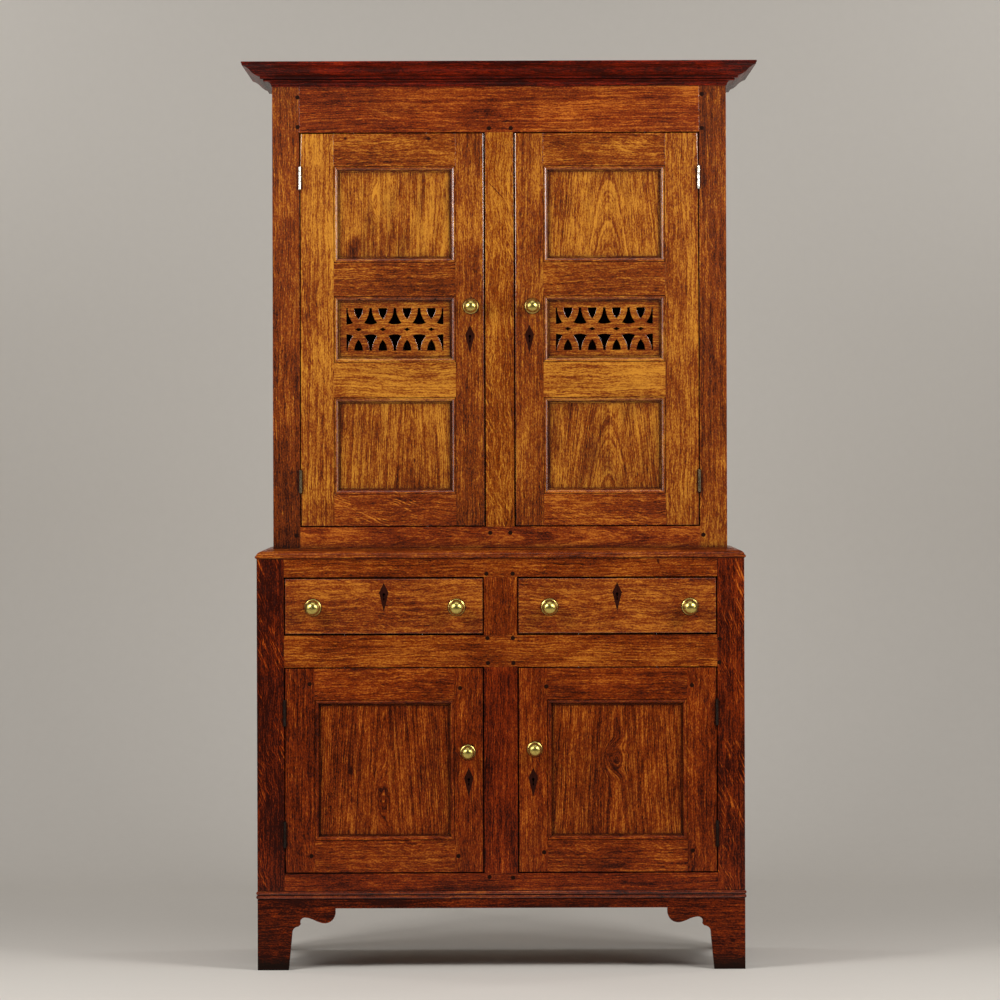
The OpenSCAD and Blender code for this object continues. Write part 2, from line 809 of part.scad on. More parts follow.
// Panel of a side frame, between two rails; grow opens it into a groove
module side_panel(half, y, below, above, grow) {
    reach = groove_d - (grow > 0 ? 0 : swell_gap);
    x1 = half - side_panel_set;
    board(
        [x1 - side_panel_t - grow, y + side_stile_w - reach, below[1] - reach],
        [x1 + grow, boards_y - side_stile_w + reach, above[0] + reach]
    );
}

module side_tenons(half, y, rails, grow) {
    mid = half - side_t / 2;
    for (r = rails)
        board(
            [
                mid - tenon_t / 2 - grow, y + side_stile_w - tenon_l - grow,
                r[0] + shoulder * 2 - grow
            ],
            [
                mid + tenon_t / 2 + grow, boards_y - side_stile_w + tenon_l + grow,
                r[1] - shoulder * 2 + grow
            ]
        );
}

module side_frame(half, y, z0, z1, rails) {
    both_sides() {
        difference() {
            union() {
                board([half - side_t, y, z0], [half, y + side_stile_w, z1]);
                board([half - side_t, boards_y - side_stile_w, z0], [half, boards_y, z1]);
            }
            side_tenons(half, y, rails, joint_fit);
            for (i = [1 : len(rails) - 1])
                side_panel(half, y, rails[i - 1], rails[i], joint_fit);
        }
        difference() {
            union() {
                for (r = rails)
                    board(
                        [half - side_t, y + side_stile_w + joint_fit, r[0]],
                        [half, boards_y - side_stile_w - joint_fit, r[1]]
                    );
                side_tenons(half, y, rails, 0);
            }
            for (i = [1 : len(rails) - 1])
                side_panel(half, y, rails[i - 1], rails[i], joint_fit);
        }
    }
}

module lower_side_frames() {
    color(OAK_DARK)
        side_frame(lower_half, lower_y + frame_t, base_z, waist_z, lower_side_rails);
}

module upper_side_frames() {
    color(OAK_DARK)
        side_frame(upper_half, upper_y + frame_t, upper_z, upper_top_z, upper_side_rails);
}

module side_panels() {
    color(OAK) both_sides() {
        for (i = [1 : len(lower_side_rails) - 1])
            side_panel(
                lower_half, lower_y + frame_t, lower_side_rails[i - 1], lower_side_rails[i], 0
            );
        for (i = [1 : len(upper_side_rails) - 1])
            side_panel(
                upper_half, upper_y + frame_t, upper_side_rails[i - 1], upper_side_rails[i], 0
            );
    }
}

// Floors, shelves and top

// Cleat on the inside of the right-hand side frame, under a board at z
module cleat(inner, y, z) {
    board([inner - cleat_s, y, z - cleat_s], [inner, boards_y, z - joint_fit]);
}

// Floor of two boards with its top at z, with cleats under its ends
module case_floor(half, y, z) {
    inner = half - side_t;
    mid = (y + boards_y) / 2;
    board([-inner, y, z - floor_t], [inner, mid - back_board_gap / 2, z]);
    board([-inner, mid + back_board_gap / 2, z - floor_t], [inner, boards_y, z]);
    both_sides() cleat(inner, y, z - floor_t);
}

// Shelf with its top at z, with cleats under its ends
module case_shelf(half, y, z) {
    inner = half - side_t;
    board([-inner, y + shelf_set, z - shelf_t], [inner, boards_y, z]);
    both_sides() cleat(inner, y + shelf_set, z - shelf_t);
}

module lower_boards() {
    color(OAK_RAW) {
        case_floor(lower_half, lower_y + frame_t, lower_open_z);
        case_shelf(lower_half, lower_y + frame_t, lower_open_z + lower_shelf_up);
    }
}

module upper_boards() {
    mid = (upper_y + back_y) / 2;
    color(OAK_RAW) {
        case_floor(upper_half, upper_y + frame_t, upper_open_z);
        for (up = upper_shelf_up)
            case_shelf(upper_half, upper_y + frame_t, upper_open_z + up);
        board(
            [-upper_half, upper_y, upper_top_z],
            [upper_half, mid - back_board_gap / 2, total_h]
        );
        board(
            [-upper_half, mid + back_board_gap / 2, upper_top_z],
            [upper_half, back_y, total_h]
        );
    }
}

module drawer_runners() {
    y = lower_y + frame_t;
    inner = lower_half - side_t;
    under = drawer_side_t + runner_inner;
    color(OAK_RAW) {
        for (z = [drawer_open_z - runner_t, top_rail_z]) {
            both_sides() board(
                [-inner, y, z], [drawer_x0 + under, boards_y, z + runner_t]
            );
            board([drawer_x1 - under, y, z], [-drawer_x1 + under, boards_y, z + runner_t]);
        }
        both_sides() board(
            [-inner, y, drawer_open_z + joint_fit],
            [drawer_x0 - guide_gap, boards_y, drawer_open_z + guide_h]
        );
        board(
            [drawer_x1 + guide_gap, y, drawer_open_z + joint_fit],
            [-drawer_x1 - guide_gap, boards_y, drawer_open_z + guide_h]
        );
    }
}

// Boards of one back, side by side
module back(half, z0, z1) {
    board_w = (half * 2 - back_board_gap * (back_boards_n - 1)) / back_boards_n;
    for (i = [0 : back_boards_n - 1])
        board(
            [-half + i * (board_w + back_board_gap), boards_y, z0],
            [-half + i * (board_w + back_board_gap) + board_w, back_y, z1]
        );
}

module back_boards() {
    color(OAK_RAW) {
        back(lower_half, base_z, waist_z);
        back(upper_half, upper_z, upper_top_z);
    }
}

// Waist board and cornice

// Edge of the waist board: out is counted from the start of the thumb moulding
function thumb_outline() = let (
    thumb_z = waist_t - wash_drop - wash_drop / 2,
    drop = thumb_z - (waist_t - thumb_h),
    nose_c = [thumb_w - nose_r, nose_r + nose_foot]
) concat(
    [[-wash_w, waist_t], [0, waist_t - wash_drop]],
    [
        for (i = [0 : ARC_STEPS])
            let (a = 90 * i / ARC_STEPS)
            [(thumb_w - nose_r) * sin(a), thumb_z - drop * (1 - cos(a))]
    ],
    arc(nose_c, nose_r, NOSE_ANGLE, -90)
);

module waist_board() {
    half = lower_half + waist_proj;
    front = lower_y - waist_proj;
    edge = thumb_outline();
    right = [for (p = edge) [half - thumb_w + p[0], waist_z + p[1]]];
    left = [for (i = [len(right) - 1 : -1 : 0]) [-right[i][0], right[i][1]]];
    fore = [
        for (i = [len(edge) - 1 : -1 : 0])
            [front + thumb_w - edge[i][0], waist_z + edge[i][1]]
    ];
    foot_x = half - nose_r;
    foot_y = front + nose_r;
    color(OAK) intersection() {
        along_y(front, back_y)
            polygon(concat([[-foot_x, waist_z]], left, right, [[foot_x, waist_z]]));
        along_x(-half, half)
            polygon(concat(
                [[foot_y, waist_z]], fore,
                [[back_y, waist_z + waist_t], [back_y, waist_z]]
            ));
    }
}

// Cornice profile: x is counted outwards from the case and y up from the cornice's foot
function cornice_outline() = let (
    cavetto_c = [cornice_step + cavetto_r, 0],
    bead_c = cavetto_c + [cornice_bead_out, cavetto_r + cornice_bead_r],
    fillet_z = cavetto_r + 2 * cornice_bead_r,
    cyma_start = [cornice_fillet_out + cornice_step, fillet_z + cornice_fillet_h],
    cyma_end = [cornice_proj - cornice_edge, cornice_h - cornice_top_h],
    cyma_mid = (cyma_start + cyma_end) / 2,
    edge_z = cornice_h - cornice_top_h / 2
) concat(
    [[0, 0]],
    arc(cavetto_c, cavetto_r, 180, 90),
    arc(bead_c, cornice_bead_r, -90, 90),
    [[cornice_fillet_out, fillet_z], [cornice_fillet_out, fillet_z + cornice_fillet_h]],
    bow(cyma_start, cyma_mid, -cyma_bow),
    bow(cyma_mid, cyma_end, cyma_bow),
    [
        [cornice_proj - cornice_edge, edge_z], [cornice_proj, edge_z],
        [cornice_proj, cornice_h], [0, cornice_h]
    ]
);

module cornice() {
    half = upper_half + cornice_proj;
    front = upper_y - cornice_proj;
    color(OAK_DARK) {
        intersection() {
            along_x(-half, half)
                translate([upper_y, cornice_z]) mirror([1, 0]) polygon(cornice_outline());
            along_z(cornice_z, total_h) front_plan(half, front, cornice_proj);
        }
        both_sides() intersection() {
            along_y(front, back_y)
                translate([upper_half, cornice_z]) polygon(cornice_outline());
            along_z(cornice_z, total_h) side_plan(half, front, cornice_proj);
        }
    }
}

// Doors

// Rails of a door, as the gaps between its openings: [bottom z, top z]
function door_rails(door, openings) = [
    for (i = [0 : len(openings)])
        [
            i == 0 ? door[3] : openings[i - 1][1],
            i == len(openings) ? door[4] : openings[i][0]
        ]
];

// Stile with its outer edge at x and its flat w wide towards dir, mitred at each moulding
function stile_outline(x, dir, w, door, openings) = concat(
    [[x, door[3]], [x + dir * w, door[3]]],
    [
        for (o = openings)
            for (p = [
                [w, o[0]], [w + stick_w, o[0] + stick_w],
                [w + stick_w, o[1] - stick_w], [w, o[1]]
            ])
                [x + dir * p[0], p[1]]
    ],
    [[x + dir * w, door[4]], [x, door[4]]]
);

// Rail between the flats of two stiles; its moulded edges are mitred into theirs
function rail_outline(x0, x1, rail, door) = let (
    under = rail[0] > door[3] ? stick_w : 0,
    over = rail[1] < door[4] ? stick_w : 0
) [
    [x0, rail[0]], [x0 + under, rail[0] - under], [x1 - under, rail[0] - under], [x1, rail[0]],
    [x1, rail[1]], [x1 - over, rail[1] + over], [x0 + over, rail[1] + over], [x0, rail[1]]
];

// Section of the waste in front of a moulding, over a gap from a to b between flats:
// [place across the gap, depth below the face]
function stick_waste(a, b) = let (
    start = quirk_w,
    run = stick_w - quirk_w - ovolo_flat - stick_fillet,
    inner = stick_w - stick_fillet,
    half = concat(
        [[0, -CUT], [0, ovolo_step], [start, ovolo_step]],
        [
            for (i = [1 : ARC_STEPS])
                let (t = 90 * i / ARC_STEPS)
                [start + run * sin(t), ovolo_step + ovolo_d * (1 - cos(t))]
        ],
        [[inner, ovolo_step + ovolo_d], [inner, stick_d], [stick_w, stick_d]],
        [[stick_w, door_t + CUT]]
    )
) concat(
    [for (p = half) [a + p[0], p[1]]],
    [for (i = [len(half) - 1 : -1 : 0]) [b - half[i][0], half[i][1]]]
);

// Everything that a panel opening takes out of the door frame: the moulding, its quirk
// and the groove for the panel. The gap is given between the flats.
module opening_waste(x0, x1, y, o) {
    along = stick_waste(x0, x1);
    up = stick_waste(o[0], o[1]);
    intersection() {
        along_z(o[0], o[1]) polygon([for (p = along) [p[0], y + p[1]]]);
        along_x(x0, x1) polygon([for (p = up) [y + p[1], p[0]]]);
    }
    difference() {
        board([x0, y - CUT, o[0]], [x1, y + quirk_d, o[1]]);
        board(
            [x0 + quirk_w, y - 2 * CUT, o[0] + quirk_w],
            [x1 - quirk_w, y + quirk_d + CUT, o[1] - quirk_w]
        );
    }
    reach = stick_w - groove_d;
    board(
        [x0 + reach, y + panel_set, o[0] + reach],
        [x1 - reach, y + panel_set + groove_t, o[1] - reach]
    );
}

module door_stiles(door, openings, hinge_l, hinge_in, knob_at, key_z) {
    x0 = door[0] + door[5];
    x1 = door[1] - lock_stile_w;
    y = door[2];
    difference() {
        union() {
            along_y(y, y + door_t)
                polygon(stile_outline(door[0], 1, door[5], door, openings));
            along_y(y, y + door_t)
                polygon(stile_outline(door[1], -1, lock_stile_w, door, openings));
        }
        for (o = openings)
            opening_waste(x0, x1, y, o);
        for (r = door_rails(door, openings))
            cross_tenon(x0, x1, y, door_t, r[0] + shoulder, r[1] - shoulder, joint_fit);
        hinge_seat(door, hinge_l, hinge_in, true);
        translate([door[1] - knob_at[0], y, door[3] + knob_at[1]]) shank_hole(door_t);
        translate([door[1] - door_key_in, y, door[3] + key_z]) key_cut();
        translate([door[1], y + door_t, door[3] + key_z]) lock_block(door_key_in, joint_fit);
    }
}

module door_frame_rails(door, openings) {
    x0 = door[0] + door[5];
    x1 = door[1] - lock_stile_w;
    y = door[2];
    rails = door_rails(door, openings);
    difference() {
        for (r = rails)
            along_y(y, y + door_t) polygon(rail_outline(x0, x1, r, door));
        for (o = openings)
            opening_waste(x0, x1, y, o);
    }
    for (r = rails)
        cross_tenon(x0, x1, y, door_t, r[0] + shoulder, r[1] - shoulder);
}

// Corners of a panel in its grooves, for a gap given between the flats
function panel_corners(door, o) = let (
    reach = stick_w - groove_d + swell_gap
) [
    door[0] + door[5] + reach, door[1] - lock_stile_w - reach, o[0] + reach, o[1] - reach
];

// Flat panel, bevelled at the back to fit its grooves
module flat_panel(door, o) {
    c = panel_corners(door, o);
    y0 = door[2] + panel_set + joint_fit;
    y1 = door[2] + panel_set + groove_t - joint_fit;
    y2 = y1 + panel_back_t;
    margin = groove_d;
    board([c[0], y0, c[2]], [c[1], y1, c[3]]);
    intersection() {
        along_z(c[2], c[3]) polygon([
            [c[0] + margin, y1], [c[1] - margin, y1],
            [c[1] - margin - panel_bevel, y2], [c[0] + margin + panel_bevel, y2]
        ]);
        along_x(c[0], c[1]) polygon([
            [y1, c[2] + margin], [y1, c[3] - margin],
            [y2, c[3] - margin - panel_bevel], [y2, c[2] + margin + panel_bevel]
        ]);
    }
}

// Panel pierced with two rows of interlaced arches, which spring from the top and
// bottom edges of one window
module pierced_panel(door, o) {
    c = panel_corners(door, o);
    y0 = door[2] + panel_set + joint_fit;
    y1 = door[2] + panel_set + groove_t - joint_fit;
    mid_x = (c[0] + c[1]) / 2;
    mid_z = (c[2] + c[3]) / 2;
    w0 = mid_x - window_w / 2;
    w1 = mid_x + window_w / 2;
    h0 = mid_z - window_h / 2;
    h1 = mid_z + window_h / 2;
    pitch = window_w / arch_steps;
    difference() {
        board([c[0], y0, c[2]], [c[1], y1, c[3]]);
        board([w0, y0 - CUT, h0], [w1, y1 + CUT, h1]);
    }
    intersection() {
        board([w0, y0, h0], [w1, y1, h1]);
        union() {
            for (i = [0 : arch_steps])
                for (z = [h0, h1])
                    translate([w0 + i * pitch, y1, z]) rotate([90, 0, 0])
                        difference() {
                            cylinder(h = y1 - y0, r = arch_outer_r, $fn = ROUND);
                            translate([0, 0, -CUT])
                                cylinder(
                                    h = y1 - y0 + 2 * CUT, r = arch_outer_r - arch_band,
                                    $fn = ROUND
                                );
                        }
        }
    }
}

// Knobs, escutcheons and locks

module shank_hole(t) {
    translate([0, t + CUT, 0]) rotate([90, 0, 0])
        cylinder(h = t + 2 * CUT, r = shank_r + joint_fit, $fn = ROUND);
}

// Brass knob on a board t thick: a ball on a neck and a domed rose, with its shank and nut
module knob(ball_r, t) {
    rose_r = ball_r + rose_out;
    color(BRASS) {
        rotate([90, 0, 0]) {
            rotate_extrude($fn = ROUND) polygon(concat(
                [[0, 0], [rose_r, 0], [rose_r, rose_t * rose_edge]],
                [
                    for (i = [1 : ARC_STEPS])
                        let (a = 90 * i / ARC_STEPS)
                        [
                            rose_r - (rose_r - knob_neck_r) * (1 - cos(a)),
                            rose_t * (rose_edge + (1 - rose_edge) * sin(a))
                        ]
                ],
                [[knob_neck_r, rose_t + knob_neck + ball_r], [0, rose_t + knob_neck + ball_r]]
            ));
            translate([0, 0, rose_t + knob_neck + ball_r]) sphere(r = ball_r, $fn = ROUND);
            translate([0, 0, -t - nut_t - CUT])
                cylinder(h = t + nut_t + 2 * CUT, r = shank_r, $fn = ROUND);
        }
        difference() {
            board([-nut_s / 2, t, -nut_s / 2], [nut_s / 2, t + nut_t, nut_s / 2]);
            translate([0, t - CUT, 0]) shank_hole(nut_t + CUT);
        }
    }
}

module key_outline() {
    circle(r = key_r, $fn = ROUND);
    translate([-key_slot_w / 2, -key_slot_l]) square([key_slot_w, key_slot_l]);
}

module kite_outline(grow = 0) {
    waist = kite_h * kite_waist - key_in_kite;
    polygon([
        [0, -key_in_kite - TIP_GROW * grow], [kite_w / 2 + grow, waist],
        [0, kite_h - key_in_kite + TIP_GROW * grow], [-kite_w / 2 - grow, waist]
    ]);
}

// Recess for the escutcheon and keyhole through the wood behind it
module key_cut() {
    along_y(-CUT, kite_t) kite_outline(joint_fit);
    along_y(0, door_t + CUT) key_outline();
}

module escutcheon() {
    color(HORN) difference() {
        along_y(0, kite_t) kite_outline();
        along_y(-CUT, kite_t + CUT) key_outline();
    }
}

// Outer form of a lock case let into the back of a board: the edge of the board is at
// x = 0, its back face at y = 0 and the key at z = 0; grow opens it into its recess
module lock_block(key_in, grow = 0) {
    over = grow > 0 ? CUT : 0;
    board(
        [-key_in - lock_back - grow, -lock_t - grow, -lock_h / 2 - grow],
        [over, over, lock_h / 2 + grow]
    );
}

module lock_case(key_in) {
    color(IRON) difference() {
        lock_block(key_in);
        board(
            [
                -bolt_set - bolt_l - bolt_fit, -lock_t / 2 - bolt_t / 2 - bolt_fit,
                -bolt_h / 2 - bolt_fit
            ],
            [CUT, -lock_t / 2 + bolt_t / 2 + bolt_fit, bolt_h / 2 + bolt_fit]
        );
    }
}

// Bolt in its drawn place, in the same place as its lock case
module bolt_bar() {
    color(IRON) board(
        [-bolt_set - bolt_l, -lock_t / 2 - bolt_t / 2, -bolt_h / 2],
        [-bolt_set, -lock_t / 2 + bolt_t / 2, bolt_h / 2]
    );
}

module door_lock(door, key_z) {
    z = door[3] + key_z;
    difference() {
        translate([door[1], door[2] + door_t, z]) lock_case(door_key_in);
        translate([door[1] - door_key_in, door[2], z]) along_y(0, door_t - lock_t / 2)
            key_outline();
    }
    translate([door[1] - door_key_in, door[2], z]) escutcheon();
}

module door_bolt(door, key_z) {
    translate([door[1], door[2] + door_t, door[3] + key_z]) bolt_bar();
}

module door_knob(door, ball_r, knob_at) {
    translate([door[1] - knob_at[0], door[2], door[3] + knob_at[1]]) knob(ball_r, door_t);
}

// Hinges: the pin stands in the gap, just ahead of the face of the door

// Knuckles of one leaf, and the tabs that join them to its plate; side is 1 for the
// leaf on the door and -1 for the leaf on the frame
module leaf(hinge_l, side) {
    knuckle_l = (hinge_l - (knuckles_n - 1) * knuckle_joint) / knuckles_n;
    near = side * leaf_gap / 2;
    far = side * (leaf_gap / 2 + leaf_t);
    face = knuckle_r + knuckle_gap;
    difference() {
        union() {
            board(
                [min(near, far), face, -hinge_l / 2],
                [max(near, far), leaf_w, hinge_l / 2]
            );
            for (i = [(side > 0 ? 1 : 0) : 2 : knuckles_n - 1])
                translate([0, 0, i * (knuckle_l + knuckle_joint) - hinge_l / 2]) {
                    cylinder(h = knuckle_l, r = knuckle_r, $fn = ROUND);
                    board([min(near, far), 0, 0], [max(near, far), face + CUT, knuckle_l]);
                }
        }
        translate([0, 0, -hinge_l / 2 - CUT])
            cylinder(h = hinge_l + 2 * CUT, r = pin_r + pin_fit, $fn = ROUND);
    }
}

module place_hinges(door, hinge_in) {
    for (mid = [door[3] + hinge_in[0], door[4] - hinge_in[1]])
        translate([door[0] - hinge_gap / 2, door[2] - knuckle_r - knuckle_gap, mid]) children();
}

module fixed_hinges(door, hinge_l, hinge_in, tone) {
    color(tone) place_hinges(door, hinge_in) {
        leaf(hinge_l, -1);
        translate([0, 0, -hinge_l / 2]) cylinder(h = hinge_l, r = pin_r, $fn = ROUND);
    }
}

module hinge_frame_leaves() {
    both_sides() {
        fixed_hinges(upper_door, upper_hinge_l, upper_hinge_in, STEEL);
        fixed_hinges(lower_door, lower_hinge_l, lower_hinge_in, IRON);
    }
}

module door_hinges(door, hinge_l, hinge_in, tone) {
    color(tone) place_hinges(door, hinge_in) leaf(hinge_l, 1);
}

// Left-hand doors

module upper_door_stiles(knob_at) {
    color(OAK_GOLD) door_stiles(
        upper_door, upper_door_openings, upper_hinge_l, upper_hinge_in, knob_at, upper_key_z
    );
}

module upper_left_door_stiles() {
    upper_door_stiles(upper_knobs[LEFT]);
}

module upper_left_door_rails() {
    color(OAK) door_frame_rails(upper_door, upper_door_openings);
}

module upper_left_door_panels() {
    color(OAK_GOLD) {
        flat_panel(upper_door, upper_door_openings[0]);
        flat_panel(upper_door, upper_door_openings[2]);
    }
}

module upper_left_pierced_panel() {
    color(OAK) pierced_panel(upper_door, upper_door_openings[1]);
}

module upper_left_door_knob() {
    door_knob(upper_door, upper_knob_r, upper_knobs[LEFT]);
}

module upper_left_door_lock() {
    door_lock(upper_door, upper_key_z);
}

module upper_left_door_bolt() {
    door_bolt(upper_door, upper_key_z);
}

module upper_left_door_hinges() {
    door_hinges(upper_door, upper_hinge_l, upper_hinge_in, STEEL);
}

module lower_door_stiles(knob_at) {
    color(OAK_DARK) door_stiles(
        lower_door, lower_door_openings, lower_hinge_l, lower_hinge_in, knob_at, lower_key_z
    );
}

module lower_left_door_stiles() {
    lower_door_stiles(lower_knobs[LEFT]);
}

module lower_left_door_rails() {
    color(OAK_DARK) door_frame_rails(lower_door, lower_door_openings);
}

module lower_left_door_panel() {
    color(OAK) flat_panel(lower_door, lower_door_openings[0]);
}

module lower_left_door_knob() {
    door_knob(lower_door, lower_knob_r, lower_knobs[LEFT]);
}

module lower_left_door_lock() {
    door_lock(lower_door, lower_key_z);
}

module lower_left_door_bolt() {
    door_bolt(lower_door, lower_key_z);
}

module lower_left_door_hinges() {
    door_hinges(lower_door, lower_hinge_l, lower_hinge_in, IRON);
}

// Drawers

// Tails at one end of a drawer side: root is the y of the shoulder, and the tails run
// by length from there, towards the front if it is negative
module tails(x0, x1, root, length, z0, z1, grow = 0) {
    pitch = (z1 - z0) / tails_n;
    for (i = [0 : tails_n - 1]) {
        mid = z0 + (i + 0.5) * pitch;
        narrow = pitch * tail_root + grow;
        wide = narrow + tail_spread;
        tip = root + length + sign(length) * grow;
        along_x(x0, x1) polygon([
            [root, mid - narrow], [tip, mid - wide], [tip, mid + wide], [root, mid + narrow]
        ]);
    }
}

module side_tails(x0, x1, grow = 0) {
    tails(x0, x1, drawer_back_y, -tail_l, drawer_z0, drawer_side_z1, grow);
    tails(
        x0, x1, drawer_end_y - drawer_side_t, drawer_side_t,
        drawer_bottom_z + drawer_bottom_t, drawer_side_z1, grow
    );
}

// Sockets for the tails of both sides
module tail_sockets() {
    wide = drawer_side_t + joint_fit;
    side_tails(drawer_x0 - CUT, drawer_x0 + wide, joint_fit);
    side_tails(drawer_x1 - wide, drawer_x1 + CUT, joint_fit);
}

// Bottom of the left drawer; grow opens it into its grooves
module drawer_bottom_board(grow) {
    board(
        [
            drawer_x0 + drawer_side_t - drawer_groove_d - grow,
            drawer_back_y - drawer_groove_d - grow, drawer_bottom_z - grow
        ],
        [
            drawer_x1 - drawer_side_t + drawer_groove_d + grow,
            drawer_end_y + (grow > 0 ? CUT : 0), drawer_bottom_z + drawer_bottom_t + grow
        ]
    );
}

// Places of a left-hand drawer's knobs across its front
function drawer_knobs(knob_in) = [drawer_x0 + knob_in[0], drawer_x1 - knob_in[1]];

module drawer_front(knob_in) {
    r = drawer_edge_r;
    y = lower_y;
    color(OAK_GOLD) difference() {
        intersection() {
            along_z(drawer_z0, drawer_z1) polygon(concat(
                [[drawer_x1, drawer_back_y], [drawer_x0, drawer_back_y]],
                arc([drawer_x0 + r, y + r], r, 180, 270),
                arc([drawer_x1 - r, y + r], r, 270, 360)
            ));
            along_x(drawer_x0, drawer_x1) polygon(concat(
                [[drawer_back_y, drawer_z0], [drawer_back_y, drawer_z1]],
                arc([y + r, drawer_z1 - r], r, 90, 180),
                arc([y + r, drawer_z0 + r], r, 180, 270)
            ));
        }
        tail_sockets();
        drawer_bottom_board(joint_fit);
        for (x = drawer_knobs(knob_in))
            translate([x, y, drawer_knob_z]) shank_hole(drawer_front_t);
        translate([drawer_mid_x, y, drawer_z1 - drawer_key_down]) key_cut();
        drawer_lock_place() lock_block(drawer_key_down, joint_fit);
    }
}

module left_drawer_front() {
    drawer_front(left_drawer_knob_in);
}

module left_drawer_box() {
    z_back = drawer_bottom_z + drawer_bottom_t + joint_fit;
    color(OAK_RAW) {
        difference() {
            for (x = [drawer_x0, drawer_x1 - drawer_side_t]) {
                board(
                    [x, drawer_back_y, drawer_side_z0],
                    [x + drawer_side_t, drawer_end_y - drawer_side_t, drawer_side_z1]
                );
                side_tails(x, x + drawer_side_t);
            }
            drawer_bottom_board(joint_fit);
        }
        difference() {
            board(
                [drawer_x0, drawer_end_y - drawer_side_t + joint_fit, z_back],
                [drawer_x1, drawer_end_y, drawer_side_z1]
            );
            tail_sockets();
        }
    }
}

module left_drawer_bottom() {
    color(OAK_RAW) drawer_bottom_board(0);
}

module knob_pair(knob_in) {
    for (x = drawer_knobs(knob_in))
        translate([x, lower_y, drawer_knob_z]) knob(drawer_knob_r, drawer_front_t);
}

module left_drawer_knobs() {
    knob_pair(left_drawer_knob_in);
}

// Turns a lock so that its bolt rises through the top edge of the drawer front
module drawer_lock_place() {
    translate([drawer_mid_x, drawer_back_y, drawer_z1]) rotate([0, -90, 0]) children();
}

module left_drawer_lock() {
    z = drawer_z1 - drawer_key_down;
    difference() {
        drawer_lock_place() lock_case(drawer_key_down);
        translate([drawer_mid_x, lower_y, z]) along_y(0, drawer_front_t - lock_t / 2)
            key_outline();
    }
    translate([drawer_mid_x, lower_y, z]) escutcheon();
}

module left_drawer_bolt() {
    drawer_lock_place() bolt_bar();
}

// Right-hand doors and drawer, as the left-hand ones in a mirror

module upper_right_door_stiles() {
    mirror([1, 0, 0]) upper_door_stiles(upper_knobs[RIGHT]);
}

module upper_right_door_rails() {
    mirror([1, 0, 0]) upper_left_door_rails();
}

module upper_right_door_panels() {
    mirror([1, 0, 0]) upper_left_door_panels();
}

module upper_right_pierced_panel() {
    mirror([1, 0, 0]) upper_left_pierced_panel();
}

module upper_right_door_knob() {
    mirror([1, 0, 0]) door_knob(upper_door, upper_knob_r, upper_knobs[RIGHT]);
}

module upper_right_door_lock() {
    mirror([1, 0, 0]) upper_left_door_lock();
}

module upper_right_door_bolt() {
    mirror([1, 0, 0]) upper_left_door_bolt();
}

module upper_right_door_hinges() {
    mirror([1, 0, 0]) upper_left_door_hinges();
}

module lower_right_door_stiles() {
    mirror([1, 0, 0]) lower_door_stiles(lower_knobs[RIGHT]);
}

module lower_right_door_rails() {
    mirror([1, 0, 0]) lower_left_door_rails();
}

module lower_right_door_panel() {
    mirror([1, 0, 0]) lower_left_door_panel();
}

module lower_right_door_knob() {
    mirror([1, 0, 0]) door_knob(lower_door, lower_knob_r, lower_knobs[RIGHT]);
}

module lower_right_door_lock() {
    mirror([1, 0, 0]) lower_left_door_lock();
}

module lower_right_door_bolt() {
    mirror([1, 0, 0]) lower_left_door_bolt();
}

module lower_right_door_hinges() {
    mirror([1, 0, 0]) lower_left_door_hinges();
}

module right_drawer_front() {
    mirror([1, 0, 0]) drawer_front(right_drawer_knob_in);
}

module right_drawer_box() {
    mirror([1, 0, 0]) left_drawer_box();
}

module right_drawer_bottom() {
    mirror([1, 0, 0]) left_drawer_bottom();
}

module right_drawer_knobs() {
    mirror([1, 0, 0]) knob_pair(right_drawer_knob_in);
}

module right_drawer_lock() {
    mirror([1, 0, 0]) left_drawer_lock();
}

module right_drawer_bolt() {
    mirror([1, 0, 0]) left_drawer_bolt();
}

plinth();
foot_blocks();
base_moulding();
lower_front_stiles();
lower_front_rails();
muntins();
lower_side_frames();
side_panels();
lower_boards();
drawer_runners();
waist_board();
upper_front_stiles();
upper_front_rails();
upper_side_frames();
upper_boards();
back_boards();
cornice();
hinge_frame_leaves();
upper_left_door_stiles();
upper_left_door_rails();
upper_left_door_panels();
upper_left_pierced_panel();
upper_left_door_knob();
upper_left_door_lock();
upper_left_door_bolt();
upper_left_door_hinges();
upper_right_door_stiles();
upper_right_door_rails();
upper_right_door_panels();
upper_right_pierced_panel();
upper_right_door_knob();
upper_right_door_lock();
upper_right_door_bolt();
upper_right_door_hinges();
lower_left_door_stiles();
lower_left_door_rails();
lower_left_door_panel();
lower_left_door_knob();
lower_left_door_lock();
lower_left_door_bolt();
lower_left_door_hinges();
lower_right_door_stiles();
lower_right_door_rails();
lower_right_door_panel();
lower_right_door_knob();
lower_right_door_lock();
lower_right_door_bolt();
lower_right_door_hinges();
left_drawer_front();
left_drawer_box();
left_drawer_bottom();
left_drawer_knobs();
left_drawer_lock();
left_drawer_bolt();
right_drawer_front();
right_drawer_box();
right_drawer_bottom();
right_drawer_knobs();
right_drawer_lock();
right_drawer_bolt();
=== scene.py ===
"""Looks of the bread and cheese cupboard: old waxed oak, brass knobs and iron fittings."""

import math
import random

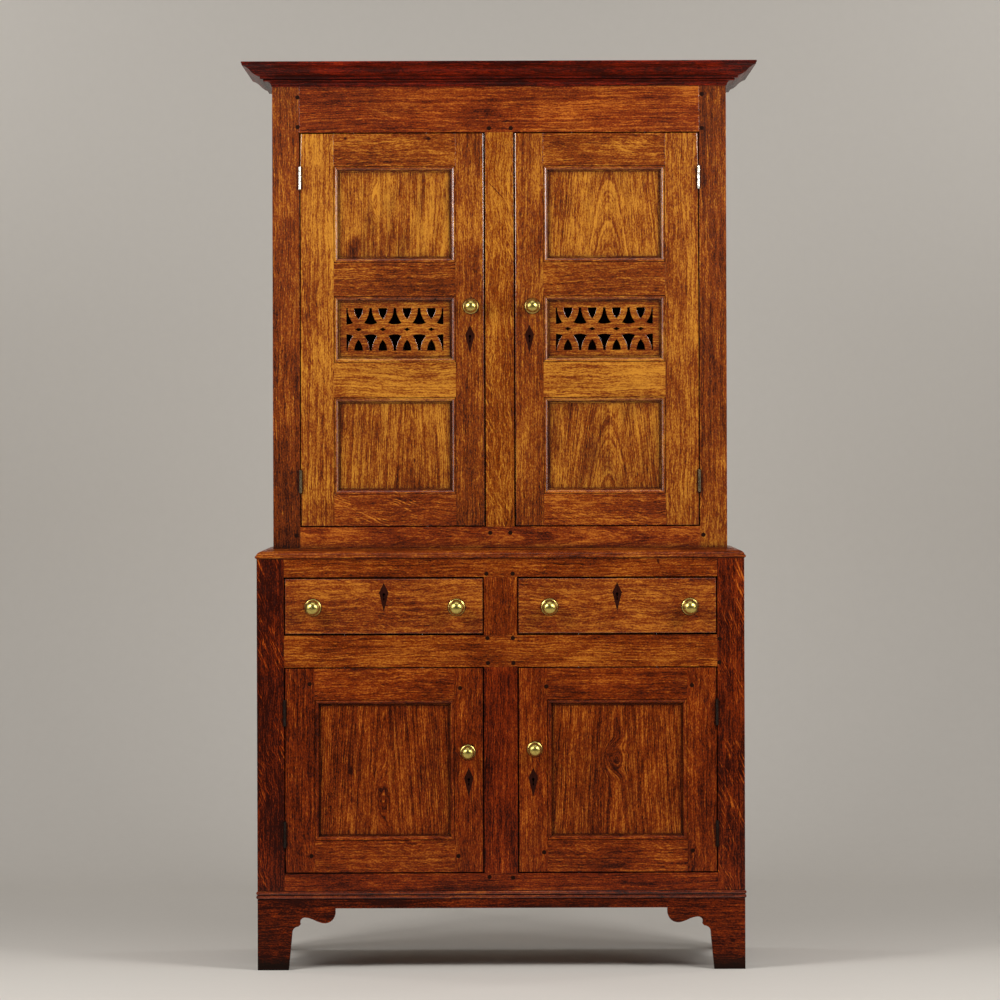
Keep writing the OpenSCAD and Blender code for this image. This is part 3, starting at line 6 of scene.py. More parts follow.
import bpy
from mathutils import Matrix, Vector


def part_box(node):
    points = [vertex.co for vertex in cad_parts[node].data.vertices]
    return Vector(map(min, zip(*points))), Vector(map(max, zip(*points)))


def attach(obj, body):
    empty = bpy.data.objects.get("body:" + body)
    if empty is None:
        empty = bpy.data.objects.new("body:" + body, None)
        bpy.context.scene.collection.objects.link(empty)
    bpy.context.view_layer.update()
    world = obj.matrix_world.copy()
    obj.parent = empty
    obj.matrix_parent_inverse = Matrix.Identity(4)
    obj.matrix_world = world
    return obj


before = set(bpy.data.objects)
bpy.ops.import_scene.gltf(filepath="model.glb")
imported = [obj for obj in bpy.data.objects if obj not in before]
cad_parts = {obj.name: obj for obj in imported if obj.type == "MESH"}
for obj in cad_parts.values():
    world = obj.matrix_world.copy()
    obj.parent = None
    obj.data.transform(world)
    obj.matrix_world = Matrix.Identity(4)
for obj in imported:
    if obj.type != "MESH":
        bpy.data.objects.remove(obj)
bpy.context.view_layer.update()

# Faces of the two cases, read from the cupboard itself
LOWER_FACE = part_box("lower_front_stiles")[0].y
UPPER_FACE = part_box("upper_front_stiles")[0].y

# Heights of the waist and of the middle of the upper case, in metres
WAIST = 0.95
UPPER_MIDDLE = 1.5

# The eye is level with the lowest panels of the upper doors, far back from the front
EYE_HEIGHT = 1.2
EYE_DISTANCE = 12.0

# The camera's lens and sensor in millimetres, its slight turn and its shift
LENS = 188.97
SENSOR = 36
ROLL = math.radians(0.18)
SHIFT = -0.0553

X_GRAIN = Vector((1, 0, 0))
Y_GRAIN = Vector((0, 1, 0))
Z_GRAIN = Vector((0, 0, 1))


# Shader nodes

class Shader:
    """Writes a material's nodes as short calls."""

    def __init__(self, name):
        self.material = bpy.data.materials.new(name)
        self.material.use_nodes = True
        self.tree = self.material.node_tree
        self.tree.nodes.clear()

    def node(self, kind, inputs=(), **settings):
        made = self.tree.nodes.new(kind)
        for key, value in settings.items():
            setattr(made, key, value)
        for key, value in dict(inputs).items():
            if isinstance(value, bpy.types.NodeSocket):
                self.tree.links.new(value, made.inputs[key])
            else:
                made.inputs[key].default_value = value
        return made

    def math(self, operation, *values, clamp=False):
        made = self.node("ShaderNodeMath", dict(enumerate(values)), operation=operation)
        made.use_clamp = clamp
        return made.outputs[0]

    def add(self, one, other, clamp=False):
        return self.math("ADD", one, other, clamp=clamp)

    def minus(self, one, other):
        return self.math("SUBTRACT", one, other)

    def times(self, one, other):
        return self.math("MULTIPLY", one, other)

    def vector(self, operation, *values):
        made = self.node("ShaderNodeVectorMath", dict(enumerate(values)), operation=operation)
        scalar = operation in ("DOT_PRODUCT", "LENGTH")
        return made.outputs["Value" if scalar else "Vector"]

    def join(self, x, y, z):
        return self.node("ShaderNodeCombineXYZ", {"X": x, "Y": y, "Z": z}).outputs[0]

    def split(self, value):
        return self.node("ShaderNodeSeparateXYZ", {0: value}).outputs

    def attribute(self, name):
        return self.node("ShaderNodeAttribute", attribute_name=name)

    def noise(self, where, scale, detail=2.0, rough=0.5, warp=0.0):
        made = self.node(
            "ShaderNodeTexNoise",
            {"Vector": where, "Scale": scale, "Detail": detail, "Roughness": rough,
             "Distortion": warp},
        )
        return made.outputs["Fac"]

    def noise_along(self, value, detail=2.0, rough=0.5):
        made = self.node(
            "ShaderNodeTexNoise",
            {"W": value, "Scale": 1.0, "Detail": detail, "Roughness": rough},
            noise_dimensions="1D",
        )
        return made.outputs["Fac"]

    def fit(self, value, low, high, to_low=0.0, to_high=1.0, smooth=True):
        made = self.node(
            "ShaderNodeMapRange",
            {"Value": value, "From Min": low, "From Max": high, "To Min": to_low,
             "To Max": to_high},
            interpolation_type="SMOOTHSTEP" if smooth else "LINEAR",
        )
        return made.outputs["Result"]

    def mix(self, amount, one, other, how="MIX"):
        made = self.node("ShaderNodeMix", data_type="RGBA", blend_type=how)
        for key, value in ((0, amount), (6, one), (7, other)):
            if isinstance(value, bpy.types.NodeSocket):
                self.tree.links.new(value, made.inputs[key])
            else:
                made.inputs[key].default_value = value
        return made.outputs[2]

    def near(self, distance, samples=4):
        """How open the surface is within a distance: 1 in the open, 0 in a deep corner."""
        made = self.node("ShaderNodeAmbientOcclusion", {"Distance": distance}, samples=samples)
        return made.outputs["AO"]

    def blot(self, place, rough_edge, x, z, wide, tall, turn, strength):
        """A mark on the front of the cupboard, with a ragged edge."""
        cosine = math.cos(math.radians(turn))
        sine = math.sin(math.radians(turn))
        px, _, pz = self.split(place)
        dx = self.minus(px, x)
        dz = self.minus(pz, z)
        across = self.add(self.times(dx, cosine / wide), self.times(dz, sine / wide))
        along = self.minus(self.times(dz, cosine / tall), self.times(dx, sine / tall))
        away = self.vector("LENGTH", self.join(across, along, 0.0))
        away = self.add(away, self.times(rough_edge, 0.8))
        return self.fit(away, 0.6, 1.6, strength, 0.0)

    def finish(self, colour, roughness, height, bump=0.2, depth=0.001, **constants):
        bumped = self.node(
            "ShaderNodeBump", {"Strength": bump, "Distance": depth, "Height": height}
        )
        inputs = {"Base Color": colour, "Roughness": roughness, "Normal": bumped.outputs[0]}
        shader = self.node("ShaderNodeBsdfPrincipled", inputs)
        for key, value in constants.items():
            shader.inputs[key.replace("_", " ")].default_value = value
        out = self.node("ShaderNodeOutputMaterial")
        self.tree.links.new(shader.outputs[0], out.inputs["Surface"])
        return self.material


def rgb(red, green, blue):
    """Colour given as it looks on a screen, from 0 to 255."""
    def linear(value):
        value = value / 255
        return value / 12.92 if value <= 0.04045 else ((value + 0.055) / 1.055) ** 2.4
    return (linear(red), linear(green), linear(blue), 1)


# Wood

# Marks on the front: place across and up, half width, half height, turn in degrees and
# strength. They are the stain of the first panel, the shake of the middle post, knots and
# dark spots.
MARKS = [
    (-0.332, 1.654, 0.022, 0.034, -12, 0.6),
    (-0.353, 1.903, 0.005, 0.004, 40, 0.6),
    (-0.1625, 1.903, 0.007, 0.005, 0, 0.5),
    (-0.197, 1.165, 0.004, 0.006, 0, 0.6),
    (-0.0081, 1.784, 0.0012, 0.030, 43, 0.7),
    (-0.3435, 0.456, 0.005, 0.014, 0, 0.6),
    (-0.3410, 0.389, 0.004, 0.008, 0, 0.5),
    (0.5206, 0.3193, 0.010, 0.002, 0, 0.5),
    (0.5290, 0.0656, 0.006, 0.0035, 0, 0.5),
    (0.2633, 0.4750, 0.009, 0.007, 0, 0.35),
    (0.361, 0.932, 0.003, 0.007, 10, 0.6),
]

# Knots in upright boards that the fibres flow around: place across and up, reach, and how
# much narrower it is than high
KNOTS = [
    (0.2633, 0.4816, 0.042, 0.8),
    (-0.2696, 0.3925, 0.026, 0.28),
    (-0.2846, 1.7614, 0.018, 0.35),
]

# What two hundred years put on the oak, with painted shade in its corners and a darker band at
# the bottom of the feet
SMOKE = rgb(44, 15, 4)
# Colour of the dark band at the bottom of the feet
FOOT_BAND = rgb(20, 9, 4)
# Dirt and painted shade in the corners, darkest where the surface is least open
CORNER_DIRT_AND_SHADE = rgb(20, 6, 2)
JOINT_DIRT = rgb(14, 5, 3)
REDNESS = rgb(255, 140, 128)

# Bare wood inside: dark fibres, light fibres and open grain
BARE_WOOD = (rgb(92, 62, 38), rgb(154, 116, 78), rgb(60, 40, 26))

# How far from a surface a corner gathers dirt and painted shade, and a joint gathers dirt
CORNER_REACH = 0.018
JOINT_REACH = 0.003

# The feet are darker towards the bottom: fully below the first of these heights, not at all above
# the second
FOOT_BAND_FULL = 0.02
FOOT_BAND_END = 0.05

# Rings and ray flecks: repeats of the wide and thin rings in a metre, and slope of the flecks
WIDE_RINGS = 120.0
THIN_RINGS = 430.0
RAY_SLOPE = 0.42

# How far apart in the log two boards lie, for each step of their seeds
SEED_STEP = 7.31


def oak(name, coat, dark, middle, light):
    """Oak whose figure follows the attributes of each board."""
    s = Shader(name)
    place = s.node("ShaderNodeTexCoord").outputs["Object"]
    grain = s.attribute("grain").outputs["Vector"]
    centre = s.attribute("centre").outputs["Vector"]
    pith_v, pith_w, taper = s.split(s.attribute("pith").outputs["Vector"])
    tone, red, fleck = s.split(s.attribute("tint").outputs["Vector"])
    seed, smoke, raw = s.split(s.attribute("marks").outputs["Vector"])
    wave, streak, fade = s.split(s.attribute("figure").outputs["Vector"])

    # Place on the board: along the grain, across the face and into the thickness
    local = s.vector("SUBTRACT", place, centre)
    gx, gy, gz = s.split(grain)
    across = s.join(gz, 0.0, s.add(gx, gy))
    deep = s.vector("CROSS_PRODUCT", grain, across)
    shift = s.times(seed, SEED_STEP)
    along = s.vector("DOT_PRODUCT", local, grain)
    u = s.add(along, shift)
    v = s.vector("DOT_PRODUCT", local, across)
    w = s.vector("DOT_PRODUCT", local, deep)

    def scaled(lengthwise, crosswise, where=None):
        """The place with its length and width stretched by two factors."""
        return s.join(
            s.times(u, lengthwise),
            s.times(v if where is None else where, crosswise),
            s.times(w, crosswise),
        )

    # Fibres wander slowly along the board, and ripple in short waves
    slow = s.minus(s.noise(scaled(3.2, 4.0), 1.0, 2.0), 0.5)
    quick = s.minus(s.noise(scaled(26.0, 60.0), 1.0, 2.0), 0.5)
    swing = s.add(s.times(slow, 0.03), s.times(quick, 0.009))
    bent = s.add(v, s.times(swing, wave))
    front_x, _, front_z = s.split(place)
    for x, z, reach, squeeze in KNOTS:
        beside = s.minus(front_x, x)
        over = s.times(s.minus(front_z, z), squeeze)
        away = s.vector("LENGTH", s.join(beside, over, 0.0))
        away = s.add(away, s.times(swing, 0.5))
        amount = s.fit(away, 0.25 * reach, reach, 1.0, 0.0)
        around = s.times(s.minus(away, beside), amount)
        bent = s.add(bent, around)

    # Growth rings
    from_v = s.minus(bent, pith_v)
    from_w = s.minus(w, pith_w)
    square = s.add(s.times(from_v, from_v), s.times(from_w, from_w))
    radius = s.math("SQRT", square)
    along_taper = s.times(along, taper)
    growth = s.add(s.add(radius, along_taper), shift)
    wide = s.noise_along(s.times(growth, WIDE_RINGS), 2.0, 0.6)
    thin = s.noise_along(s.times(growth, THIN_RINGS), 2.0, 0.7)
    rings = s.add(s.times(wide, 0.45), s.times(thin, 0.55))
    rings = s.fit(rings, 0.36, 0.64)

    # Fibres, short dashes of open grain, and broad patches
    fibres = s.noise(scaled(13.0, 370.0, bent), 1.0, 3.0, 0.7)
    dashes = s.noise(scaled(75.0, 460.0, bent), 1.0, 1.0, 0.6)
    grit = s.noise(scaled(230.0, 380.0), 1.0, 1.0)
    pits = s.fit(dashes, 0.56, 0.68)
    glints = s.fit(dashes, 0.43, 0.32)
    patches = s.noise(scaled(6.0, 14.0), 1.0, 3.0, 0.6)
    mottle = s.noise(scaled(34.0, 80.0, bent), 1.0, 3.0, 0.65)

    # Rays show as slanting flecks across the grain, in patches
    zones = s.fit(s.noise(scaled(8.0, 14.0), 1.0, 2.0), 0.42, 0.6)
    slant = s.add(bent, s.times(u, RAY_SLOPE))
    ray_place = s.join(s.times(u, 22.0), s.times(slant, 270.0), s.times(w, 60.0))
    rays = s.fit(s.noise(ray_place, 1.0, 1.0, 0.5, 0.3), 0.57, 0.66)
    rays = s.times(s.times(rays, zones), fleck)

    # Where smoke, wax and dirt lie, and how open the surface is, for the painted shade in corners
    cloud = s.fit(s.noise(scaled(9.0, 22.0), 1.0, 4.0, 0.6), 0.45, 0.7)
    corner = s.fit(s.near(CORNER_REACH), 0.42, 1.0, smooth=False)
    joint = s.fit(s.near(JOINT_REACH, 3), 0.3, 0.9, smooth=False)

    # How light the wood is, its colour, what lies on it and the shade painted into its corners
    level = s.add(tone, s.times(along, fade))
    for part, strength in ((fibres, 1.3), (patches, 1.0), (mottle, 0.6), (grit, 0.8)):
        level = s.add(level, s.times(s.minus(part, 0.5), strength))
    ringed = s.times(s.minus(rings, 0.5), streak)
    level = s.add(level, s.times(ringed, 0.3))
    level = s.minus(level, s.times(pits, 0.18))
    level = s.add(level, s.times(glints, 0.2))
    level = s.add(level, s.times(rays, 0.5))
    for row in MARKS:
        level = s.minus(level, s.blot(place, dashes, *row))
    low_half = s.mix(s.fit(level, 0.0, 0.5, smooth=False), dark, middle)
    wood = s.mix(s.fit(level, 0.5, 1.0, smooth=False), low_half, light)
    wood = s.mix(red, wood, REDNESS, "MULTIPLY")
    wood = s.mix(s.times(cloud, smoke), wood, SMOKE)
    ground = s.add(s.split(place)[2], s.times(patches, 0.02))
    # The feet get darker towards the floor
    wood = s.mix(s.fit(ground, FOOT_BAND_FULL, FOOT_BAND_END, 0.9, 0.0), wood, FOOT_BAND)
    # Dirt and painted shade, darkest in deep corners
    wood = s.mix(s.fit(corner, 0.0, 1.0, 0.95, 0.0), wood, CORNER_DIRT_AND_SHADE)
    wood = s.mix(s.fit(joint, 0.0, 1.0, 0.85, 0.0), wood, JOINT_DIRT)
    bare_dark, bare_light, bare_pits = BARE_WOOD
    bare = s.mix(fibres, bare_dark, bare_light)
    bare = s.mix(s.times(pits, 0.5), bare, bare_pits)
    wood = s.mix(s.times(raw, 0.85), wood, bare)

    gloss = s.fit(mottle, 0.3, 0.7, 0.34, 0.48, smooth=False)
    gloss = s.add(gloss, s.times(pits, 0.16))
    gloss = s.minus(gloss, s.times(rays, 0.06))
    gloss = s.add(gloss, s.times(raw, 0.35), clamp=True)
    height = s.times(fibres, 0.6)
    height = s.minus(height, s.times(pits, 0.7))
    height = s.add(height, s.times(mottle, 0.8))
    return s.finish(
        wood, gloss, height, bump=0.4, depth=0.0006, Coat_Weight=coat, Coat_Roughness=0.16,
        Specular_IOR_Level=0.08,
    )


OAK_COLOURS = (rgb(42, 11, 1), rgb(124, 53, 6), rgb(194, 127, 38))
POLISHED_OAK = oak("polished oak", 0.95, *OAK_COLOURS)
OAK = oak("oak", 0.2, *OAK_COLOURS)
WORN_OAK = oak("worn oak", 0.05, *OAK_COLOURS)


# Ways to saw a board from the log: the pith's distance across and behind it, and the taper
FLAT = (0.01, -0.06, 0.10)
QUARTER = (0.22, 0.02, 0.01)
RIFT = (0.12, -0.10, 0.02)
CATHEDRAL = (0.0, -0.014, 0.07)
OFF_CENTRE = (0.039, -0.012, 0.06)


def above(height):
    return lambda middle: middle.z > height


def left_of(x):
    return lambda middle: middle.x < x


def right_of(x):
    return lambda middle: middle.x > x


def everywhere(middle):
    return True


# One row for each board, or group of boards, that looks different. A row has the node, a
# test of the board's middle, its tone, redness, ray flecks and smoke, the ripple of its
# fibres, the strength of its rings, how much lighter it gets in each metre along its grain,
# and how it was sawn. Of the rows of a node, the first one whose test holds counts.
BOARDS = [
    ("cornice", everywhere, 0.16, 1.0, 0.0, 0.1, 0.3, 0.5, 0.0, RIFT),
    ("upper_front_rails", above(UPPER_MIDDLE), 0.47, 0.4, 0.2, 0.2, 0.8, 1.0, 0.3, QUARTER),
    ("upper_front_rails", everywhere, 0.45, 0.37, 0.2, 0.1, 1.0, 1.2, 0.0, CATHEDRAL),
    ("upper_front_stiles", left_of(0), 0.33, 0.09, 0.3, 0.2, 0.9, 0.8, 0.15, QUARTER),
    ("upper_front_stiles", everywhere, 0.38, 0.06, 0.3, 0.2, 0.9, 0.8, -0.2, QUARTER),
    ("lower_front_stiles", left_of(0), 0.04, 0.59, 1.0, 0.2, 1.0, 0.8, 0.0, QUARTER),
    ("lower_front_stiles", everywhere, 0.17, 0.53, 1.0, 0.2, 1.0, 0.8, 0.0, QUARTER),
    ("lower_front_rails", above(0.85), 0.43, 0.27, 0.3, 0.1, 1.1, 1.0, 0.0, QUARTER),
    ("lower_front_rails", above(0.6), 0.48, 0.27, 0.3, 0.1, 1.0, 1.0, 0.0, QUARTER),
    ("lower_front_rails", everywhere, 0.31, 0.53, 0.2, 0.2, 0.8, 1.0, 0.0, RIFT),
    ("muntins", above(1), 0.50, 0.0, 0.7, 0.05, 1.6, 0.8, 0.2, QUARTER),
    ("muntins", above(0.75), 0.42, 0.33, 0.3, 0.1, 0.8, 0.8, 0.0, RIFT),
    ("muntins", everywhere, 0.22, 0.59, 0.3, 0.2, 0.8, 0.8, 0.0, QUARTER),
    ("waist_board", everywhere, 0.43, 0.27, 0.2, 0.1, 0.8, 1.0, 0.0, RIFT),
    ("base_moulding", everywhere, 0.34, 0.46, 0.1, 0.1, 0.6, 1.0, 0.0, RIFT),
    ("plinth", everywhere, 0.15, 0.53, 0.3, 0.3, 0.8, 0.8, 0.17, RIFT),
    ("lower_side_frames", everywhere, 0.22, 0.46, 0.4, 0.25, 0.9, 0.8, 0.0, QUARTER),
    ("upper_side_frames", everywhere, 0.40, 0.15, 0.4, 0.2, 0.9, 0.8, 0.0, QUARTER),
    ("side_panels", everywhere, 0.44, 0.15, 0.2, 0.15, 0.8, 1.0, 0.0, FLAT),
    ("upper_left_door_stiles", left_of(-0.25), 0.62, 0.0, 0.2, 0.0, 0.8, 0.8, 0.3, QUARTER),
    ("upper_left_door_stiles", everywhere, 0.40, 0.04, 0.2, 0.1, 0.9, 0.8, 0.28, QUARTER),
    ("upper_left_door_rails", above(1.8), 0.48, 0.08, 0.4, 0.1, 1.0, 0.9, 0.0, QUARTER),
    ("upper_left_door_rails", above(UPPER_MIDDLE), 0.36, 0.08, 0.2, 0.1, 1.0, 0.9, 0.0, QUARTER),
    ("upper_left_door_rails", above(1.2), 0.63, 0.0, 0.2, 0.1, 1.2, 0.9, 0.0, QUARTER),
    ("upper_left_door_rails", everywhere, 0.36, 0.27, 1.0, 0.1, 1.2, 0.9, 0.0, QUARTER),
    ("upper_left_door_panels", above(UPPER_MIDDLE), 0.64, 0.0, 0.1, 0.35, 0.5, 1.4, 0.1, RIFT),
    ("upper_left_door_panels", everywhere, 0.55, 0.0, 0.1, 0.1, 0.5, 1.4, 0.0, OFF_CENTRE),
    ("upper_left_pierced_panel", everywhere, 0.56, 0.04, 0.1, 0.1, 0.8, 0.7, 0.0, QUARTER),
    ("upper_right_door_stiles", right_of(0.25), 0.57, 0.0, 0.2, 0.05, 0.9, 0.8, 0.0, QUARTER),
    ("upper_right_door_stiles", everywhere, 0.50, 0.04, 0.2, 0.1, 0.9, 0.8, 0.2, QUARTER),
    ("upper_right_door_rails", above(1.8), 0.46, 0.08, 0.4, 0.1, 1.0, 0.9, 0.0, QUARTER),
    ("upper_right_door_rails", above(UPPER_MIDDLE), 0.42, 0.08, 0.3, 0.1, 1.0, 0.9, 0.0, QUARTER),
    ("upper_right_door_rails", above(1.2), 0.70, 0.0, 0.3, 0.1, 1.2, 0.9, 0.0, QUARTER),
    ("upper_right_door_rails", everywhere, 0.50, 0.27, 0.5, 0.1, 1.2, 0.9, 0.0, QUARTER),
    ("upper_right_door_panels", above(UPPER_MIDDLE), 0.66, 0.0, 0.1, 0.15, 0.5, 1.4, -0.2, FLAT),
    ("upper_right_door_panels", everywhere, 0.55, 0.0, 0.1, 0.3, 0.5, 1.4, 0.0, FLAT),
    ("upper_right_pierced_panel", everywhere, 0.56, 0.04, 0.1, 0.1, 0.8, 0.7, 0.0, QUARTER),
    ("lower_left_door_stiles", left_of(-0.25), 0.31, 0.46, 0.3, 0.2, 0.9, 0.8, 0.0, QUARTER),
    ("lower_left_door_stiles", everywhere, 0.40, 0.43, 0.3, 0.2, 0.9, 0.8, 0.0, QUARTER),
    ("lower_left_door_rails", everywhere, 0.43, 0.4, 0.3, 0.2, 0.9, 0.9, 0.0, QUARTER),
    ("lower_left_door_panel", everywhere, 0.37, 0.37, 0.1, 0.2, 0.5, 1.4, 0.0, CATHEDRAL),
    ("lower_right_door_stiles", left_of(0.25), 0.42, 0.43, 0.3, 0.2, 0.9, 0.8, 0.0, QUARTER),
    ("lower_right_door_stiles", everywhere, 0.33, 0.43, 0.3, 0.2, 0.9, 0.8, 0.0, QUARTER),
    ("lower_right_door_rails", everywhere, 0.38, 0.4, 0.3, 0.2, 0.9, 0.9, 0.0, QUARTER),
    ("lower_right_door_panel", everywhere, 0.42, 0.33, 0.1, 0.2, 0.5, 1.4, 0.0, CATHEDRAL),
    ("left_drawer_front", everywhere, 0.52, 0.24, 0.3, 0.1, 1.3, 0.8, 0.0, QUARTER),
    ("right_drawer_front", everywhere, 0.51, 0.24, 0.3, 0.1, 1.3, 0.8, 0.0, QUARTER),
]
INNER_BOARD = (0.5, 0.08, 0.1, 0.1, 0.8, 0.8, 0.0, RIFT)

# Nodes that were never polished, ends of the names of nodes with upright boards, and the
# nodes outside the upper case that are rubbed bright
RAW_NODES = [
    "foot_blocks", "lower_boards", "drawer_runners", "upper_boards", "back_boards",
    "left_drawer_box", "left_drawer_bottom", "right_drawer_box", "right_drawer_bottom",
]
UPRIGHT = ["panels", "panel", "side_panels"]
POLISHED = ["left_drawer_front", "right_drawer_front", "base_moulding"]


# Vertices in one cell of a grid with so many cells in a metre are one corner
GRID = 100000


def islands(mesh):
    """Groups of faces that hang together, each a list of face numbers."""
    spots = {}
    parent = {}

    def find(a):
        while parent[a] != a:
            parent[a] = parent[parent[a]]
            a = parent[a]
        return a

    spot_of = []
    for vertex in mesh.vertices:
        key = tuple(round(value * GRID) for value in vertex.co)
        spot = spots.setdefault(key, len(spots))
        parent.setdefault(spot, spot)
        spot_of.append(spot)
    for face in mesh.polygons:
        first = find(spot_of[face.vertices[0]])
        for number in face.vertices[1:]:
            parent[find(spot_of[number])] = first
    groups = {}
    for face in mesh.polygons:
        groups.setdefault(find(spot_of[face.vertices[0]]), []).append(face.index)
    return list(groups.values())


def extent(mesh, faces):
    """Lowest and highest corner of some faces."""
    numbers = {n for face in faces for n in mesh.polygons[face].vertices}
    places = [mesh.vertices[n].co for n in numbers]
    low = Vector([min(p[axis] for p in places) for axis in range(3)])
    high = Vector([max(p[axis] for p in places) for axis in range(3)])
    return low, high


def grain_of(node, size):
    if any(node.endswith(word) for word in UPRIGHT) and not node.endswith("pierced_panel"):
        return Z_GRAIN
    longest = max(range(3), key=lambda axis: size[axis])
    return (X_GRAIN, Y_GRAIN, Z_GRAIN)[longest]


def look_of(node, middle):
    for row in BOARDS:
        if row[0] == node and row[1](middle):
            return row[2:]
    return INNER_BOARD


# How unpolished the back of an outer board is, and how squarely a back has to face inward
BACK_RAWNESS = 0.75
FACING = 0.5


def inside(node, face):
    """How unpolished a face is: fully on inner boards, partly on the backs of outer ones."""
    if node in RAW_NODES:
        return 1.0
    if node == "side_panels" or node.endswith("side_frames"):
        backward = -face.normal.x * math.copysign(1, face.center.x)
    else:
        backward = face.normal.y
    return BACK_RAWNESS if backward > FACING else 0.0


def finish_of(node):
    """The upper case, drawer fronts and base moulding are rubbed bright, the plinth is dull."""
    if node == "plinth":
        return WORN_OAK
    if node.startswith("upper") or node in POLISHED:
        return POLISHED_OAK
    return OAK


def dress_boards(node, chance):
    """Writes the looks of each board of a node into attributes of its faces."""
    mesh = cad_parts[node].data
    names = ("grain", "centre", "pith", "tint", "marks", "figure")
    for name in names:
        mesh.attributes.new(name, "FLOAT_VECTOR", "FACE")
    layers = [mesh.attributes[name].data for name in names]
    for faces in islands(mesh):
        least, most = extent(mesh, faces)
        middle = (least + most) / 2
        tone, red, fleck, smoke, wave, streak, fade, sawn = look_of(node, middle)
        grain = grain_of(node, most - least)
        seed = chance.uniform(0, 20)
        pith = Vector(sawn) * chance.uniform(0.96, 1.04)
        tint = Vector((tone + chance.uniform(-0.02, 0.02), red, fleck))
        figure = Vector((wave, streak, fade))
        for face in faces:
            marks = Vector((seed, smoke, inside(node, mesh.polygons[face])))
            for layer, value in zip(layers, (grain, middle, pith, tint, marks, figure)):
                layer[face].vector = value
    mesh.materials.clear()
    mesh.materials.append(finish_of(node))


# Wear of the edges: on the outline of a door, on most edges, and on the front of the upper
# case, whose joints are still tight. Edges sharper than SHARP wear, vertices closer than WELD
# are joined, and a vertex closer than CLOSE to a plane lies on it.
DOOR_ROUND = 0.0035
EDGE_ROUND = 0.0005
TIGHT_ROUND = 0.0002
SHARP = math.radians(32)
WELD = 0.00001
CLOSE = 0.0005


def weld(obj):
    """Joins the faces of a mesh where they meet."""
    made = obj.modifiers.new("weld", "WELD")
    made.merge_threshold = WELD


def round_outline(node):
    """Rounds the outline of a door's front: much at its sides and less at top and bottom."""
    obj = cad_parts[node]
    mesh = obj.data
    least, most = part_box(node)

    def at_end(a, b, axis):
        for end in (least[axis], most[axis]):
            if abs(a[axis] - end) < CLOSE and abs(b[axis] - end) < CLOSE:
                return True
        return False

    weights = mesh.attributes.new("bevel_weight_edge", "FLOAT", "EDGE").data
    for edge in mesh.edges:
        a, b = [mesh.vertices[number].co for number in edge.vertices]
        weight = 0.0
        if abs(a.y - least.y) < CLOSE and abs(b.y - least.y) < CLOSE:
            if at_end(a, b, 2):
                weight = 0.4
            elif at_end(a, b, 0) and node.endswith("stiles"):
                weight = 1.0
        weights[edge.index].value = weight
    weld(obj)
    bevel = obj.modifiers.new("rounded outline", "BEVEL")
    bevel.width = DOOR_ROUND
    bevel.segments = 4
    bevel.limit_method = "WEIGHT"
    bevel.use_clamp_overlap = False


def soften(node):
    """Rounds a node's sharp edges a little, as handling does."""
    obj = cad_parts[node]
    weld(obj)
    bevel = obj.modifiers.new("worn edges", "BEVEL")
    bevel.width = TIGHT_ROUND if node.startswith("upper_front") else EDGE_ROUND
    bevel.segments = 2
    bevel.limit_method = "ANGLE"
    bevel.angle_limit = SHARP


# Metals and inlay

def metal(name, colour, stained, rough, stain_scale, stain_at):
    """Metal stained where a noise rises from the first to the second level of stain_at."""
    s = Shader(name)
    place = s.node("ShaderNodeTexCoord").outputs["Object"]
    stain = s.fit(s.noise(place, stain_scale, 4.0, 0.6), *stain_at)
    open_air = s.fit(s.near(0.004), 0.35, 0.95)
    shade = s.mix(s.times(stain, 0.55), colour, stained)
    shade = s.mix(s.fit(open_air, 0.0, 1.0, 0.8, 0.0), shade, stained)
    scratch = s.noise(place, 1400.0, 2.0, 0.6)
    gloss = s.add(s.times(stain, 0.16), rough)
    gloss = s.add(gloss, s.times(scratch, 0.08), clamp=True)
    return s.finish(shade, gloss, s.noise(place, 160.0, 3.0), bump=0.12, depth=0.0004,
                    Metallic=1.0)


BRASS = metal("brass", rgb(206, 184, 100), rgb(84, 64, 28), 0.24, 90.0, (0.5, 0.72))
IRON = metal("iron", rgb(52, 44, 39), rgb(38, 22, 15), 0.45, 60.0, (0.4, 0.6))
STEEL = metal("steel", rgb(196, 190, 176), rgb(66, 48, 34), 0.16, 120.0, (0.45, 0.66))
TARNISHED = metal("tarnished steel", rgb(112, 98, 74), rgb(40, 28, 18), 0.3, 120.0, (0.4, 0.6))


def horn():
    """Dark inlay of the escutcheons."""
    s = Shader("horn")
    place = s.node("ShaderNodeTexCoord").outputs["Object"]
    streak = s.noise(s.vector("MULTIPLY", place, Vector((260.0, 260.0, 40.0))), 1.0, 3.0)
    colour = s.mix(streak, rgb(22, 7, 3), rgb(54, 18, 8))
    return s.finish(colour, s.fit(streak, 0.3, 0.7, 0.35, 0.5), streak, bump=0.15,
                    depth=0.0003, Specular_IOR_Level=0.08)


HORN = horn()


def dress_fitting(node, materials, which):
    """Gives a fitting its materials, and each of its pieces the one that which() numbers."""
    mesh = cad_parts[node].data
    mesh.materials.clear()
    for material in materials:
        mesh.materials.append(material)
    for faces in islands(mesh):
        number = int(which(*extent(mesh, faces)))
        for face in faces:
            mesh.polygons[face].material_index = number


# A piece of a knob that is less deep than this is a nut, and a piece of a lock is its inlay
NUT_DEPTH = 0.02
INLAY_DEPTH = 0.004

SEED = 1790


